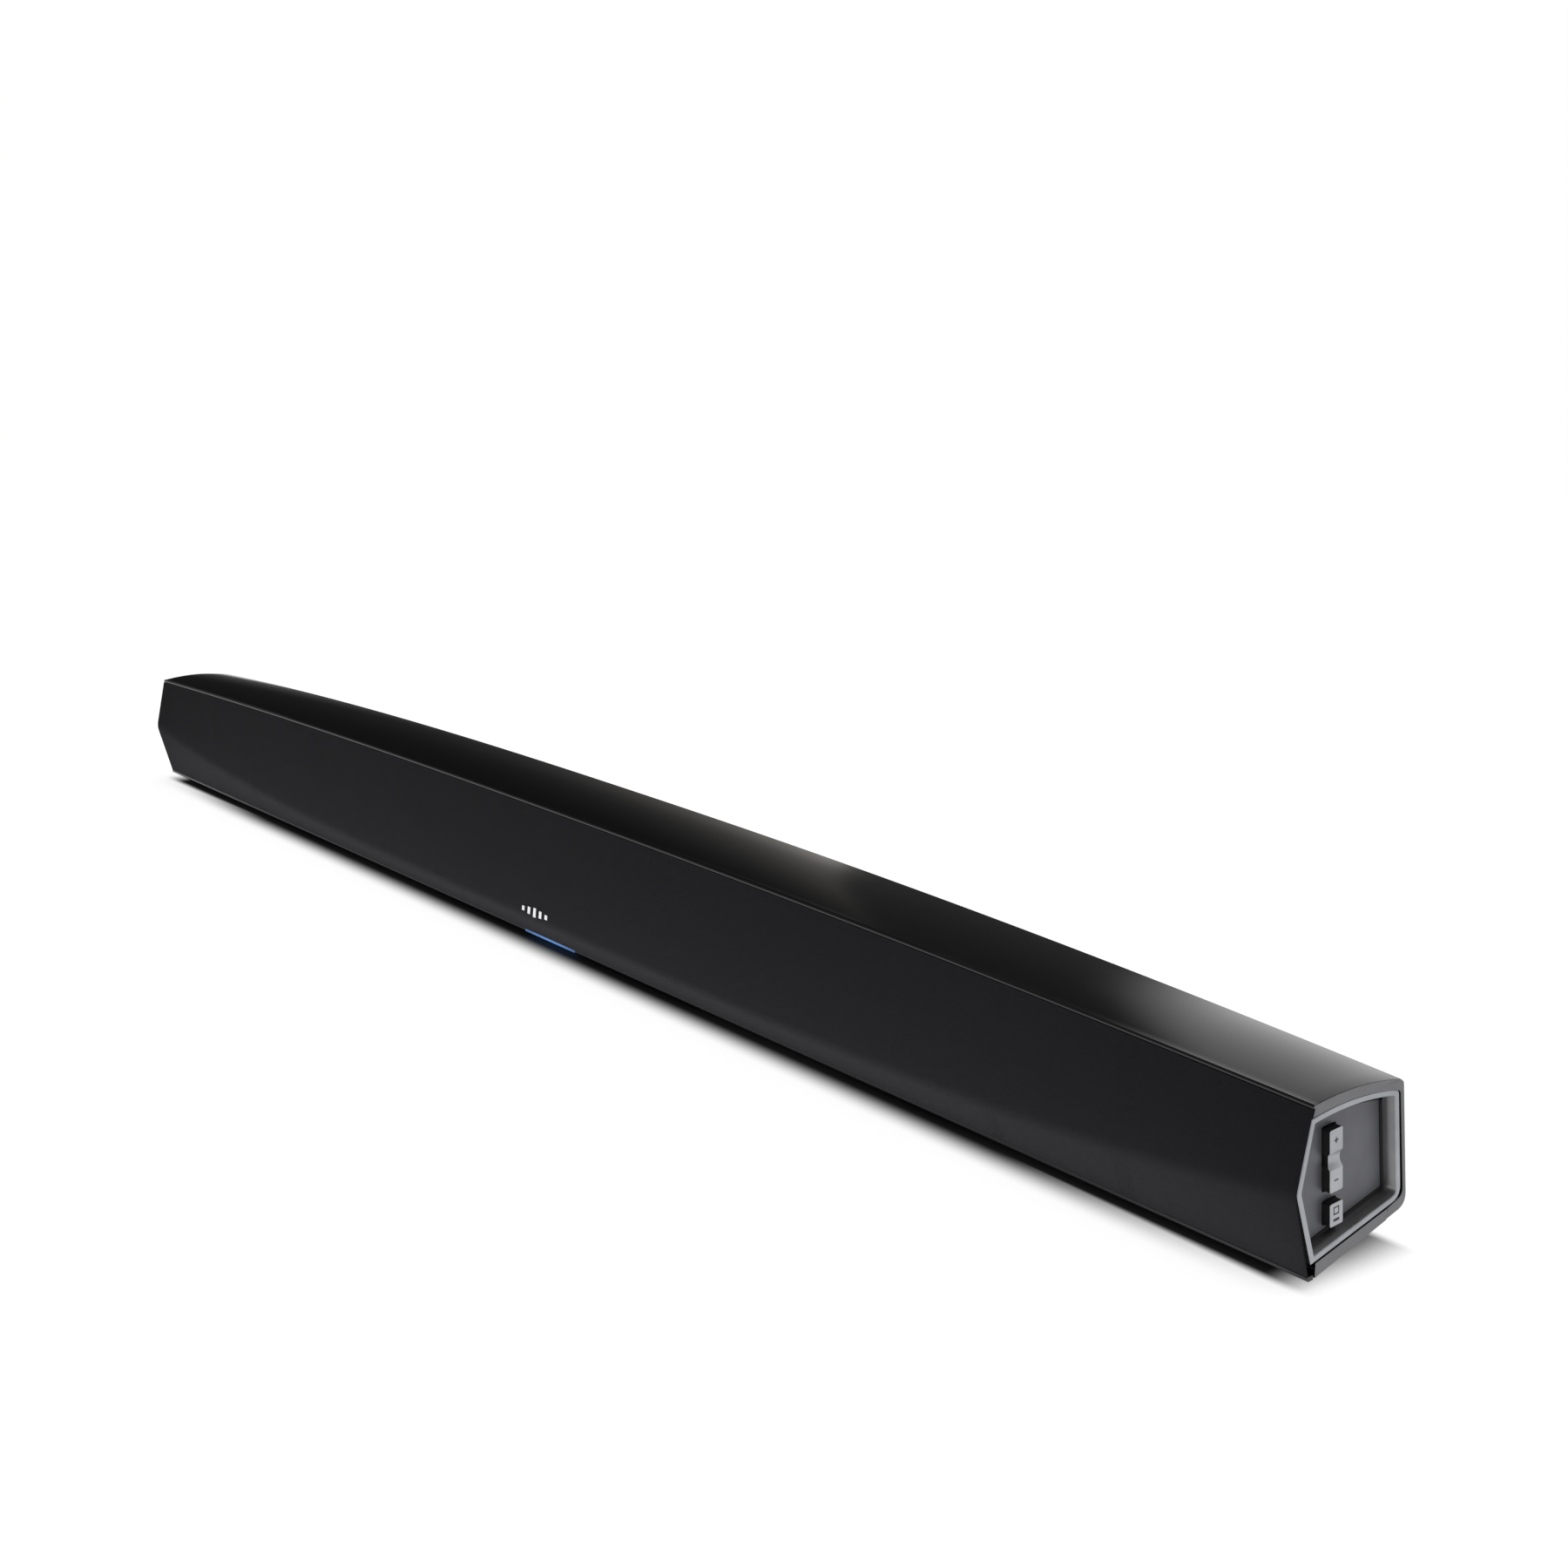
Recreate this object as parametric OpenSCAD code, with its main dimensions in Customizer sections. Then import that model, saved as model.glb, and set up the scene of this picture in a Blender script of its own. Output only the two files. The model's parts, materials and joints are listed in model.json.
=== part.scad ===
// Soundbar: a long cabinet with a two-facet cloth front, open ends with silver
// trims, a volume rocker and a source button at the right end.
// Millimetres. X runs along the bar, the front faces -Y, Z is up.
// The origin is at floor level under the middle of the bar.

/* [Cabinet] */
// Length of the bar
bar_w = 1000; // [960:10:1100]
// Depth of the bar, from the front crease to the rear foot of the cabinet
bar_d = 62; // [60:1:66]
// Height of the front top edge over the bottom edge, at the ends
end_h = 65.7; // [64:0.1:68]
// How much the front top edge is arched up in the middle
front_rise = 7.3; // [5:0.1:9]
// How much the rear top edge is arched up in the middle
rear_rise = 12.5; // [9:0.1:14]
// How much the bottom climbs from the front to the rear
rear_lift = 15.5; // [13:0.1:17]
// Clearance between the cabinet's front edge and the floor
floor_gap = 3; // [2:0.1:4]

/* [Front] */
// Height of the front crease over the bottom edge, in the middle
crease_mid_h = 13.4; // [12:0.1:18]
// Height of the front crease over the bottom edge, at the ends
crease_end_h = 34.4; // [30:0.1:38]
// Thickness of the grille cloth
cloth_t = 0.6; // [0.5:0.1:0.8]
// Thickness of the plastic frame behind the cloth
frame_t = 2; // [1.8:0.1:2.2]

/* [End] */
// Depth of the recess at each end
recess_d = 5; // [4:0.1:6]
// Width of the silver trim's face
trim_face = 2.4; // [2:0.1:3]
// Lean of the button column, in degrees
column_lean = 5; // [0:0.5:6]
// How far the buttons stand out of the end panel
button_out = 3.2; // [2.5:0.1:3.8]

/* [Drivers] */
// Radius of a woofer's frame
woofer_r = 22.5; // [20:0.1:22.8]
// Distance from the middle of the bar to the inner woofer
woofer_inner_x = 225; // [215:1:235]
// Distance from the middle of the bar to the outer woofer
woofer_outer_x = 295; // [290:1:300]
// Distance from the middle of the bar to the tweeter
tweeter_x = 355; // [350:1:360]

/* [Hidden] */
eps = 0.01;
half_w = bar_w / 2;

// Corners of the end profile, as [y, z]
crease_y = -bar_d / 2;
rear_low_y = bar_d / 2;
top_front_y = crease_y + 7;
bottom_front_y = crease_y + 9.5;
top_rear_y = rear_low_y - 6;
rear_h = end_h - 1.4;
arch_p = 2.31;
crease_p = 3.6;
cross_arc = 2.3;

// Walls and seams
lip_t = 1.1;
lip_d = cloth_t + frame_t + 0.4;
wall_top = 3.5;
wall_rear = 1.7;
wall_low = 3.4;
seam_y = rear_low_y - 11;
seam_gap = 0.05;
rear_bend_r = 2.2;
inner_bend_r = 1.5;
rail_h = 2.2;
stations = 44;

// 0 in the middle of the bar, 1 at its ends
function along(x) = abs(x) / half_w;
function arch(x) = 1 - pow(along(x), arch_p);
function top_front(x) = [top_front_y, floor_gap + end_h + front_rise * arch(x)];
function top_rear(x) = [top_rear_y, floor_gap + rear_h + rear_rise * arch(x)];
function crease(x) = [
  crease_y,
  floor_gap + crease_mid_h + (crease_end_h - crease_mid_h) * pow(along(x), crease_p)
];
bottom_front = [bottom_front_y, floor_gap];
bottom_rear = [rear_low_y, floor_gap + rear_lift];
function bottom_at(y) = floor_gap + rear_lift * (y - bottom_front_y) / (rear_low_y - bottom_front_y);

// Stations along X, closer together near the ends
function station_x(i, n, reach) = reach * sin(180 * i / n - 90);

// A point between two points, a curve round a corner, and an arched line
function mix(a, b, t) = a + (b - a) * t;
function unit(v) = v / norm(v);
function bend(a, p, b, r, n) = [
  for (i = [0 : n])
    let (t = i / n, p0 = p + r * unit(a - p), p1 = p + r * unit(b - p))
    mix(mix(p0, p, t), mix(p, p1, t), t)
];
// Points between a and b on a shallow arch
function arched(a, b) = [
  for (i = [1 : 9])
    let (t = i / 10)
    mix(a, b, t) + [0, 4 * cross_arc * t * (1 - t)]
];

// A polyline moved to its right by t, with mitred corners
function side(a, b) = let (d = unit(b - a)) [d[1], -d[0]];
function corner_shift(n1, n2, t) = t * (n1 + n2) / (1 + n1 * n2);
function inset_line(pts, t) = [
  for (i = [0 : len(pts) - 1])
    let (n1 = side(pts[max(i - 1, 0)], pts[max(i, 1)]),
         n2 = side(pts[min(i, len(pts) - 2)], pts[min(i + 1, len(pts) - 1)]))
    pts[i] + corner_shift(n1, n2, t)
];
function inset_loop(pts, t) = [
  for (i = [0 : len(pts) - 1])
    let (n = len(pts),
         n1 = side(pts[(i + n - 1) % n], pts[i]),
         n2 = side(pts[i], pts[(i + 1) % n]))
    pts[i] + corner_shift(n1, n2, t)
];
function reversed(pts) = [for (i = [len(pts) - 1 : -1 : 0]) pts[i]];
function at_x(pts, x) = [for (p = pts) [x, p[0], p[1]]];

// A closed skin through rings of equal length; looped joins the last ring to the first
module skin(rings, looped = false) {
  n = len(rings[0]);
  m = len(rings);
  spans = looped ? m : m - 1;
  sides = [
    for (j = [0 : spans - 1], i = [0 : n - 1])
      let (a = j * n + i, b = j * n + (i + 1) % n,
           c = ((j + 1) % m) * n + (i + 1) % n, d = ((j + 1) % m) * n + i)
      for (tri = [[a, b, c], [a, c, d]]) tri
  ];
  caps = looped ? [] : [
    [for (i = [n - 1 : -1 : 0]) i],
    [for (i = [0 : n - 1]) (m - 1) * n + i]
  ];
  polyhedron([for (r = rings) each r], concat(sides, caps), convexity = 10);
}

// A tube swept along a route, for wires
module wire(route, r, n = 8) {
  last = len(route) - 1;
  rings = [
    for (i = [0 : last])
      let (d = unit(route[min(i + 1, last)] - route[max(i - 1, 0)]),
           u = unit(cross(d, abs(d[2]) > 0.9 ? [1, 0, 0] : [0, 0, 1])),
           v = cross(d, u))
      [for (k = [0 : n - 1]) route[i] + r * (cos(360 * k / n) * u - sin(360 * k / n) * v)]
  ];
  skin(rings);
}
// A rounded route through a few corner points
function rounded_route(pts, r, n) = concat(
  [pts[0]],
  [for (i = [1 : len(pts) - 2]) each bend(pts[i - 1], pts[i], pts[i + 1], r, n)],
  [pts[len(pts) - 1]]
);

// Corners inside the rear wall and the rounded rear foot
function inner_rear(x) = top_rear(x) + [-wall_rear, -wall_top + 0.6];
inner_foot = bottom_rear + [-2.4, wall_low];
inner_seam = [seam_y, bottom_at(seam_y) + wall_low];

// Outer and inner outlines of the arched top, from the front lip to the rear wall
function top_outer(x) = concat(
  [top_front(x) + [0, -0.5], top_front(x) + [0.5, 0]],
  arched(top_front(x), top_rear(x)),
  bend(top_front(x) + [0, 2 * cross_arc], top_rear(x), bottom_rear, rear_bend_r, 4)
);
function top_inner(x) =
  let (tf = top_front(x) + [lip_d, -wall_top], tr = inner_rear(x))
  concat(
    [top_front(x) + [0, -lip_t], top_front(x) + [lip_d, -lip_t], tf],
    arched(tf, tr),
    bend(tf + [0, 2 * cross_arc], tr, inner_foot, inner_bend_r, 4)
  );

// Ends of the rear wall's outline: under the top, at a height z, and the rounded foot
function at_height(a, b, z) = mix(a, b, (z - a[1]) / (b[1] - a[1]));
function wall_under_top(x) =
  let (o = top_rear(x), i = inner_rear(x))
  [
    o + (rear_bend_r + seam_gap) * unit(bottom_rear - o),
    i + (inner_bend_r + seam_gap) * unit(inner_foot - i)
  ];
function wall_at_height(x, z) = [
  at_height(top_rear(x), bottom_rear, z),
  at_height(inner_rear(x), inner_foot, z)
];
function foot_outer(x) = concat(
  bend(top_rear(x), bottom_rear, bottom_front, 5, 5),
  [[seam_y, bottom_at(seam_y)]]
);
function foot_inner(x) = concat(bend(inner_rear(x), inner_foot, inner_seam, 3, 5), [inner_seam]);

// Front surface of the grille, from its top end to its bottom end, inset by t
function front_line(x) =
  let (t = top_front(x) + [-0.3, -lip_t - 0.2],
       c = crease(x),
       b = mix(bottom_front, c, rail_h / (c[1] - floor_gap)))
  concat([t], bend(t, c, b, 3, 5), [b]);

// Lower corners of the end opening
end_low_rear = [rear_low_y - 3.2, floor_gap + rear_lift + 3.4];
end_low_front = [bottom_front_y + 1.2, floor_gap + 6.2];

// Loop of the end opening, clockwise as seen from the right end
function end_loop() =
  let (tf = [top_front_y - 0.3, floor_gap + end_h - 4.8],
       tr = [top_rear_y - 2.2, floor_gap + rear_h - 3.4],
       br = end_low_rear,
       bf = end_low_front,
       c = [crease_y + 1.1, floor_gap + crease_end_h])
  concat(
    [tf],
    arched(tf, tr),
    bend(tf + [0, 2 * cross_arc], tr, br, 1.8, 4),
    bend(tr, br, bf, 5, 5),
    [bf],
    bend(bf, c, tf, 1.5, 3)
  );

module mirror_x(flip) {
  if (flip) mirror([1, 0, 0]) children();
  else children();
}

// Plate with the outline of a loop inset by t, from x0 to x1
module loop_plate(t, x0, x1) {
  translate([x0, 0, 0]) rotate([90, 0, 90])
    linear_extrude(x1 - x0) polygon(inset_loop(end_loop(), t));
}

// Rounded slot along Z through the rear wall
module rear_slot(x, z, w, h) {
  hull() {
    for (s = [-1, 1])
      translate([x, top_rear_y - 8, z + s * (h - w) / 2])
        rotate([-90, 0, 0]) cylinder(d = w, h = 24, $fn = 12);
  }
}

// ---- Casing ----
bay_w = 184;
bay_z0 = 28;
bay_z1 = 58;
bay_floor_y = 14;
keyhole_x = 350;
keyhole_z = 50;
boss_x = [104, 190, 330, 470];
boss_y = 16;
boss_r = 3.6;
vent_x = 110;
vent_z = 48;
vent_pitch = 6;
vent_count = 12;
vent_slot_w = 2.4;
vent_slot_h = 22;

module upper_shell() {
  color("#141416") skin([
    for (i = [0 : stations])
      let (x = station_x(i, stations, half_w))
      at_x(concat(top_outer(x), reversed(top_inner(x))), x)
  ]);
}

// Rear wall with its rounded foot, from x0 to x1
wall_stations = 18;
module wall_skin(x0, x1) {
  skin([
    for (i = [0 : wall_stations])
      let (x = mix(x0, x1, i / wall_stations), top = wall_under_top(x))
      at_x(concat([top[0]], foot_outer(x), reversed(foot_inner(x)), [top[1]]), x)
  ]);
}

module rear_wall(flip) {
  color("#141416") mirror_x(flip) difference() {
    wall_skin(bay_w / 2 + 0.1, half_w);
    hull() {
      for (dz = [-5, 5])
        translate([keyhole_x, bay_floor_y, keyhole_z + dz])
          rotate([-90, 0, 0]) cylinder(r = 8, h = 30, $fn = 24);
    }
    for (i = [0 : vent_count - 1]) rear_slot(vent_x + vent_pitch * i, vent_z, vent_slot_w, vent_slot_h);
  }
}

// Strips of the rear wall over and under the connector bay
module rear_wall_middle() {
  reach = bay_w / 2 + 0.05;
  xs = [for (i = [0 : 8]) mix(-reach, reach, i / 8)];
  color("#141416") {
    skin([
      for (x = xs)
        let (top = wall_under_top(x), low = wall_at_height(x, bay_z1 + 0.1))
        at_x([top[0], low[0], low[1], top[1]], x)
    ]);
    skin([
      for (x = xs)
        let (high = wall_at_height(x, bay_z0 - 0.1))
        at_x(concat([high[0]], foot_outer(x), reversed(foot_inner(x)), [high[1]]), x)
    ]);
  }
}

// Posts that the screws through the base plate hold
module screw_posts() {
  foot_z = bottom_at(boss_y) + 5.2;
  color("#101012") for (s = [-1, 1], x = boss_x)
    translate([s * x, boss_y, foot_z]) difference() {
      cylinder(r = boss_r, h = top_rear(x)[1] - wall_top - 0.6 - foot_z, $fn = 32);
      translate([0, 0, -1]) cylinder(r = 1.6, h = 14, $fn = 32);
    }
}

end_rib_w = 8;
function under_end_loop(y) =
  at_height([end_low_front[1], end_low_front[0]], [end_low_rear[1], end_low_rear[0]], y)[0] - 0.35;

module base_plate() {
  slope = atan(rear_lift / (rear_low_y - bottom_front_y));
  front_cut = bottom_front_y + lip_d + 0.2;
  rear_cut = seam_y - 0.1;
  color("#151517") difference() {
    union() {
      translate([-half_w, 0, 0]) rotate([90, 0, 90])
        linear_extrude(bar_w)
          polygon([
            [front_cut, bottom_at(front_cut)],
            [front_cut, bottom_at(front_cut) + wall_low + 1.2],
            [rear_cut, bottom_at(seam_y) + wall_low],
            [rear_cut, bottom_at(seam_y)]
          ]);
      // Ribs that close the gap below each end trim
      for (x = [-half_w, half_w - end_rib_w])
        translate([x, 0, 0]) rotate([90, 0, 90])
          linear_extrude(end_rib_w)
            polygon([
              [front_cut, bottom_at(front_cut) + 1],
              [front_cut, under_end_loop(front_cut)],
              [rear_cut, under_end_loop(rear_cut)],
              [rear_cut, bottom_at(rear_cut) + 1]
            ]);
    }
    for (s = [-1, 1], x = boss_x) {
      translate([s * x, boss_y, 0]) cylinder(r = 1.6, h = 40, $fn = 32);
      translate([s * x, boss_y, 0]) cylinder(r = 3.2, h = bottom_at(boss_y) + 1.6, $fn = 32);
    }
    // Cooling slots under the power board
    for (i = [0 : 11])
      translate([60 + 7 * i, 0, 0]) rotate([slope, 0, 0]) translate([-1.2, -9, -5]) cube([2.4, 16, 30]);
    translate([-26, front_cut - 1, floor_gap - 1]) cube([52, 8, 8]);
  }
}

// Straight rail along the bottom edge, which the grille stands on
module bottom_rail() {
  color("#101012") difference() {
    translate([-half_w + 0.3, 0, 0]) rotate([90, 0, 90])
      linear_extrude(bar_w - 0.6)
        polygon([
          [bottom_front_y + 0.3, floor_gap],
          [bottom_front_y - 0.6, floor_gap + 0.8],
          [bottom_front_y - 0.6, floor_gap + rail_h - 0.1],
          [bottom_front_y + 2.9, floor_gap + rail_h - 0.1],
          [bottom_front_y + 2.9, floor_gap + 0.2]
        ]);
    translate([-light_w / 2 - 0.2, bottom_front_y - 2, floor_gap - 1]) cube([light_w + 0.4, 8, rail_h + 2]);
  }
}

// ---- Grille ----
module front_skin(t0, t1, reach) {
  skin([
    for (i = [0 : stations])
      let (x = station_x(i, stations, reach))
      at_x(concat(inset_line(front_line(x), -t1), reversed(inset_line(front_line(x), -t0))), x)
  ]);
}

module grille_cloth() {
  color("#222124") front_skin(0, cloth_t, half_w - 0.3);
}

window_pitch = 56;
module grille_frame() {
  color("#0c0c0d") difference() {
    front_skin(cloth_t + 0.3, cloth_t + frame_t, half_w - 10);
    for (i = [-7.5 : 1 : 7.5])
      hull() {
        for (sx = [-1, 1], z = [38, 58])
          translate([i * window_pitch + sx * 18, -50, z])
            rotate([-90, 0, 0]) cylinder(r = 6, h = 40, $fn = 20);
      }
  }
}

// ---- Ends ----
trim_x = half_w - 0.3;
panel_x = trim_x - recess_d;
panel_t = 2;
trim_back_x = panel_x - 3.5;

module end_trim(flip) {
  loop = end_loop();
  color("#b4b5ba") mirror_x(flip) skin([
    at_x(loop, trim_x - 0.3),
    at_x(inset_loop(loop, 0.3), trim_x),
    at_x(inset_loop(loop, trim_face - 0.3), trim_x),
    at_x(inset_loop(loop, trim_face), trim_x - 0.3),
    at_x(inset_loop(loop, trim_face + 1.6), panel_x),
    at_x(inset_loop(loop, 1.6), panel_x),
    at_x(inset_loop(loop, 1.6), trim_back_x),
    at_x(loop, trim_back_x)
  ], looped = true);
}

module end_panel_left() {
  color("#55575c") mirror_x(true) loop_plate(1.7, panel_x - panel_t, panel_x - 0.05);
}

// Frame of the button column: x out of the panel's face, z up along the column
rocker_pos = [panel_x, -7.6, 44.4];
source_drop = 20.6;
module at_rocker() {
  translate(rocker_pos) rotate([column_lean, 0, 0]) children();
}
module at_source() {
  at_rocker() translate([0, 0, -source_drop]) children();
}

rocker_half = 11.9;
button_half_w = 3.45;
source_half = 4.4;
pin_x = -5.6;
pin_r = 0.8;
running_gap = 0.05;
board_x = -9.6;

// A block with rounded edges along X
module soft_block(x0, x1, hy, hz, r) {
  translate([x0, 0, 0]) rotate([90, 0, 90]) linear_extrude(x1 - x0) union() {
    square([2 * hy - 2 * r, 2 * hz], center = true);
    square([2 * hy, 2 * hz - 2 * r], center = true);
    for (sy = [-1, 1], sz = [-1, 1]) translate([sy * (hy - r), sz * (hz - r)]) circle(r, $fn = 32);
  }
}

module end_panel_right() {
  color("#6a6c72") difference() {
    loop_plate(1.7, panel_x - panel_t, panel_x - 0.05);
    at_rocker() soft_block(-5, 5, button_half_w + 0.4, rocker_half + 0.6, 0.9);
    at_source() soft_block(-5, 5, button_half_w + 0.4, source_half + 0.4, 0.9);
  }
}

module volume_rocker() {
  color("#b0b2b8") at_rocker() difference() {
    union() {
      soft_block(-4, button_out, button_half_w, rocker_half, 0.7);
      translate([-4, -4.3, -rocker_half - 0.9]) cube([1.1, 8.6, 2 * rocker_half + 1.8]);
      translate([pin_x, 4.3, 0]) rotate([90, 0, 0]) cylinder(r = 2.2, h = 8.6, $fn = 48);
      for (s = [-1, 1]) translate([-7, 0, s * 8.5]) rotate([0, 90, 0]) cylinder(r = 1.2, h = 4, $fn = 32);
    }
    // Waisted saddle between the plus and minus faces
    translate([button_out + 3.2, 6, 0]) rotate([90, 0, 0]) cylinder(r = 4.6, h = 12, $fn = 96);
    translate([-3, -button_half_w - 3.3, 0]) rotate([0, 90, 0]) cylinder(r = 4, h = 12, $fn = 64);
    // Engraved plus and minus strokes
    for (s = [-1, 1]) translate([button_out - 0.25, -1.1, s * 7.6 - 0.25]) cube([1, 2.2, 0.5]);
    translate([button_out - 0.25, -0.25, 6.5]) cube([1, 0.5, 2.2]);
    translate([pin_x, 10, 0]) rotate([90, 0, 0]) cylinder(r = pin_r + running_gap, h = 20, $fn = 48);
  }
}

module rocker_pin() {
  color("#c8c9cc") at_rocker()
    translate([pin_x, 7, 0]) rotate([90, 0, 0]) cylinder(r = pin_r, h = 14, $fn = 48);
}

module source_button() {
  color("#b0b2b8") at_source() difference() {
    union() {
      soft_block(-3.8, button_out, button_half_w, source_half, 0.7);
      translate([-3.8, -4.3, -source_half - 0.8]) cube([1.1, 8.6, 2 * source_half + 1.6]);
      translate([-7.1, 0, 0]) rotate([0, 90, 0]) cylinder(r = 1.5, h = 4, $fn = 48);
    }
    // Engraved arrow frame and status bar
    translate([button_out - 0.25, -1.5, 2.4]) cube([1, 3, 0.45]);
    translate([button_out - 0.25, -1.5, -0.2]) cube([1, 3, 0.45]);
    for (y = [-1.5, 1.05]) translate([button_out - 0.25, y, -0.2]) cube([1, 0.45, 3.05]);
    translate([button_out - 0.25, -1.6, -2.7]) cube([1, 3.2, 1]);
  }
}

module button_bracket() {
  color("#1c1c1f") at_rocker() difference() {
    union() {
      difference() {
        translate([-9.5, -7.8, -27.2]) cube([7.4, 15.6, 42.7]);
        translate([-10, -6.6, -26]) cube([9, 13.2, 40.3]);
      }
      for (y = [-7, 4.7]) translate([-9.5, y, -3.2]) cube([7.4, 2.3, 6.4]);
      translate([-6.4, -7, -26.5]) cube([1.6, 14, 12.9]);
    }
    translate([pin_x, 12, 0]) rotate([90, 0, 0]) cylinder(r = pin_r, h = 24, $fn = 48);
    translate([-10, 0, -source_drop]) rotate([0, 90, 0]) cylinder(r = 1.5 + running_gap, h = 10, $fn = 48);
  }
}

module button_board() {
  color("#20563a") at_rocker() translate([board_x - 1.6, -7.8, -27.2]) cube([1.6, 15.6, 42.7]);
}

module tact_switches() {
  color("#3a3a3d") at_rocker()
    for (z = [8.5, -8.5, -source_drop]) translate([board_x, 0, z]) {
      translate([0, -2.25, -2.25]) cube([1.5, 4.5, 4.5]);
      translate([1.5 - eps, 0, 0]) rotate([0, 90, 0]) cylinder(r = 1.1, h = 0.5, $fn = 32);
    }
}

// ---- Status light and remote receiver ----
light_w = 49;
module status_light_pipe() {
  color("#5a8ad0") {
    translate([-light_w / 2, bottom_front_y - 0.6, floor_gap + 0.3]) cube([light_w, 4.6, rail_h - 0.5]);
    for (x = [-18, 0, 18])
      translate([x - 3, bottom_front_y + 3.9, floor_gap + 0.3]) cube([6, 3.1, rail_h - 0.5]);
  }
}

module light_board() {
  color("#20563a") translate([-25.5, bottom_front_y + 7.1, floor_gap + 0.4]) cube([51, 1.2, 11]);
}

module remote_receiver() {
  color("#1a0d10") translate([-62, -22.5, 34]) {
    cube([7, 4.5, 9]);
    translate([3.5, 0.4, 4.5]) rotate([90, 0, 0]) cylinder(r = 2.4, h = 1.6, $fn = 48);
  }
}

// ---- Acoustic chambers ----
baffle_y = -22.1;
baffle_z = 43.2;
baffle_tilt = 7;
baffle_t = 3;
baffle_x0 = 172;
baffle_x1 = 392;
// Frame of a driver: origin on the baffle's front face, z out of the front
module on_baffle(x) {
  translate([x, baffle_y, baffle_z]) rotate([90 - baffle_tilt, 0, 0]) children();
}
function woofer_x(i) = [-woofer_outer_x, -woofer_inner_x, woofer_inner_x, woofer_outer_x][i - 1];

module baffles() {
  color("#2a2a2c") for (flip = [false, true]) mirror_x(flip) on_baffle(0) difference() {
    translate([baffle_x0, -22.9, -baffle_t]) cube([baffle_x1 - baffle_x0, 45.8, baffle_t]);
    for (x = [woofer_inner_x, woofer_outer_x]) translate([x, 0, -5]) cylinder(r = 19.6, h = 10, $fn = 96);
    translate([tweeter_x, 0, -5]) cylinder(r = 13.1, h = 10, $fn = 72);
  }
}

// Wall across the cabinet, clear of the shell above and the base plate below
function baffle_back(z) = baffle_y - (baffle_z - z) * tan(baffle_tilt);
function chamber_outline(x) = [
  [baffle_back(66), top_front(x)[1] - wall_top - 0.8],
  [baffle_back(66), 66],
  [baffle_back(21), 21],
  [-17.8, 9.4],
  [seam_y - 0.8, bottom_at(seam_y) + wall_low + 0.5],
  [24.6, 21.9],
  [26.3, 26],
  [top_rear_y - wall_rear - 0.7, top_rear(x)[1] - wall_top - 0.6]
];
module chamber_walls() {
  color("#2a2a2c") for (flip = [false, true], x = [baffle_x0 - 2.2, baffle_x1 + 0.2])
    mirror_x(flip) translate([x, 0, 0]) difference() {
      rotate([90, 0, 90]) linear_extrude(2) polygon(chamber_outline(x + 2));
      translate([-1, wire_y, wire_z]) rotate([0, 90, 0]) cylinder(r = 1.8, h = 6, $fn = 32);
    }
}

// ---- Woofers and tweeters ----
flange_t = 1.6;
wire_y = 8;
wire_z = 60;
module woofer_basket(i) {
  color("#333438") on_baffle(woofer_x(i)) difference() {
    rotate_extrude($fn = 96)
      polygon([
        [19.3, flange_t], [woofer_r, flange_t], [woofer_r, 0], [19.5, 0],
        [19.5, -3], [13.4, -15], [8, -15], [8, -14], [12.6, -14], [18.3, -2.6], [18.3, 0.2], [19.3, 0.2]
      ]);
    for (a = [30 : 60 : 330])
      rotate([0, 0, a]) translate([16.5, 0, -9])
        rotate([0, 90, 0]) cylinder(r = 3, h = 9, center = true, $fn = 32);
    for (a = [45 : 90 : 315])
      rotate([0, 0, a]) translate([20.9, 0, -1]) cylinder(r = 0.85, h = 5, $fn = 24);
  }
}

module woofer_motor(i) {
  color("#3c3c40") on_baffle(woofer_x(i)) rotate_extrude($fn = 96)
    polygon([
      [8, -15.05], [13, -15.05], [13, -17.5], [15.5, -17.5], [15.5, -25.5], [14, -25.5], [14, -28],
      [0, -28], [0, -14.6], [6.2, -14.6], [6.2, -25.5], [8, -25.5]
    ]);
}

// Cone, dust cap and voice-coil former, glued together
module woofer_cone(i) {
  color("#1b1b1d") on_baffle(woofer_x(i)) rotate_extrude($fn = 96)
    polygon([
      [7, -20.5], [7.4, -20.5], [7.4, -9.4], [15.9, -1.5], [15.9, -0.9], [8.2, -8], [6.4, -5.6], [3.4, -4.5],
      [0, -4.1], [0, -4.6], [3.3, -5], [6, -6.1], [7, -7.6]
    ]);
}

module woofer_surround(i) {
  color("#101011") on_baffle(woofer_x(i)) {
    rotate_extrude($fn = 96)
      polygon([
        [15.95, -1.5], [16.3, -0.2], [17, 0.5], [17.6, 0.5], [18.25, 0.2], [19.25, 0.25], [19.25, 0.75],
        [18.3, 0.75], [17.7, 1.1], [16.9, 1.1], [15.9, 0.2], [15.95, -0.9]
      ]);
    rotate_extrude($fn = 72)
      polygon([
        [7.45, -12.4], [9, -12], [10.6, -12.8], [12.4, -12.4],
        [12.4, -12.1], [10.6, -12.5], [9, -11.7], [7.45, -12.1]
      ]);
  }
}

module tweeter_housings() {
  color("#2c2c30") for (s = [-1, 1]) on_baffle(s * tweeter_x) difference() {
    rotate_extrude($fn = 72)
      polygon([
        [9, flange_t], [16, flange_t], [16, 0], [13, 0], [13, -13], [0, -13],
        [0, -4], [7, -4], [7, 0.4]
      ]);
    for (a = [45 : 90 : 315])
      rotate([0, 0, a]) translate([14.6, 0, -1]) cylinder(r = 0.85, h = 5, $fn = 24);
  }
}

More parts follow.
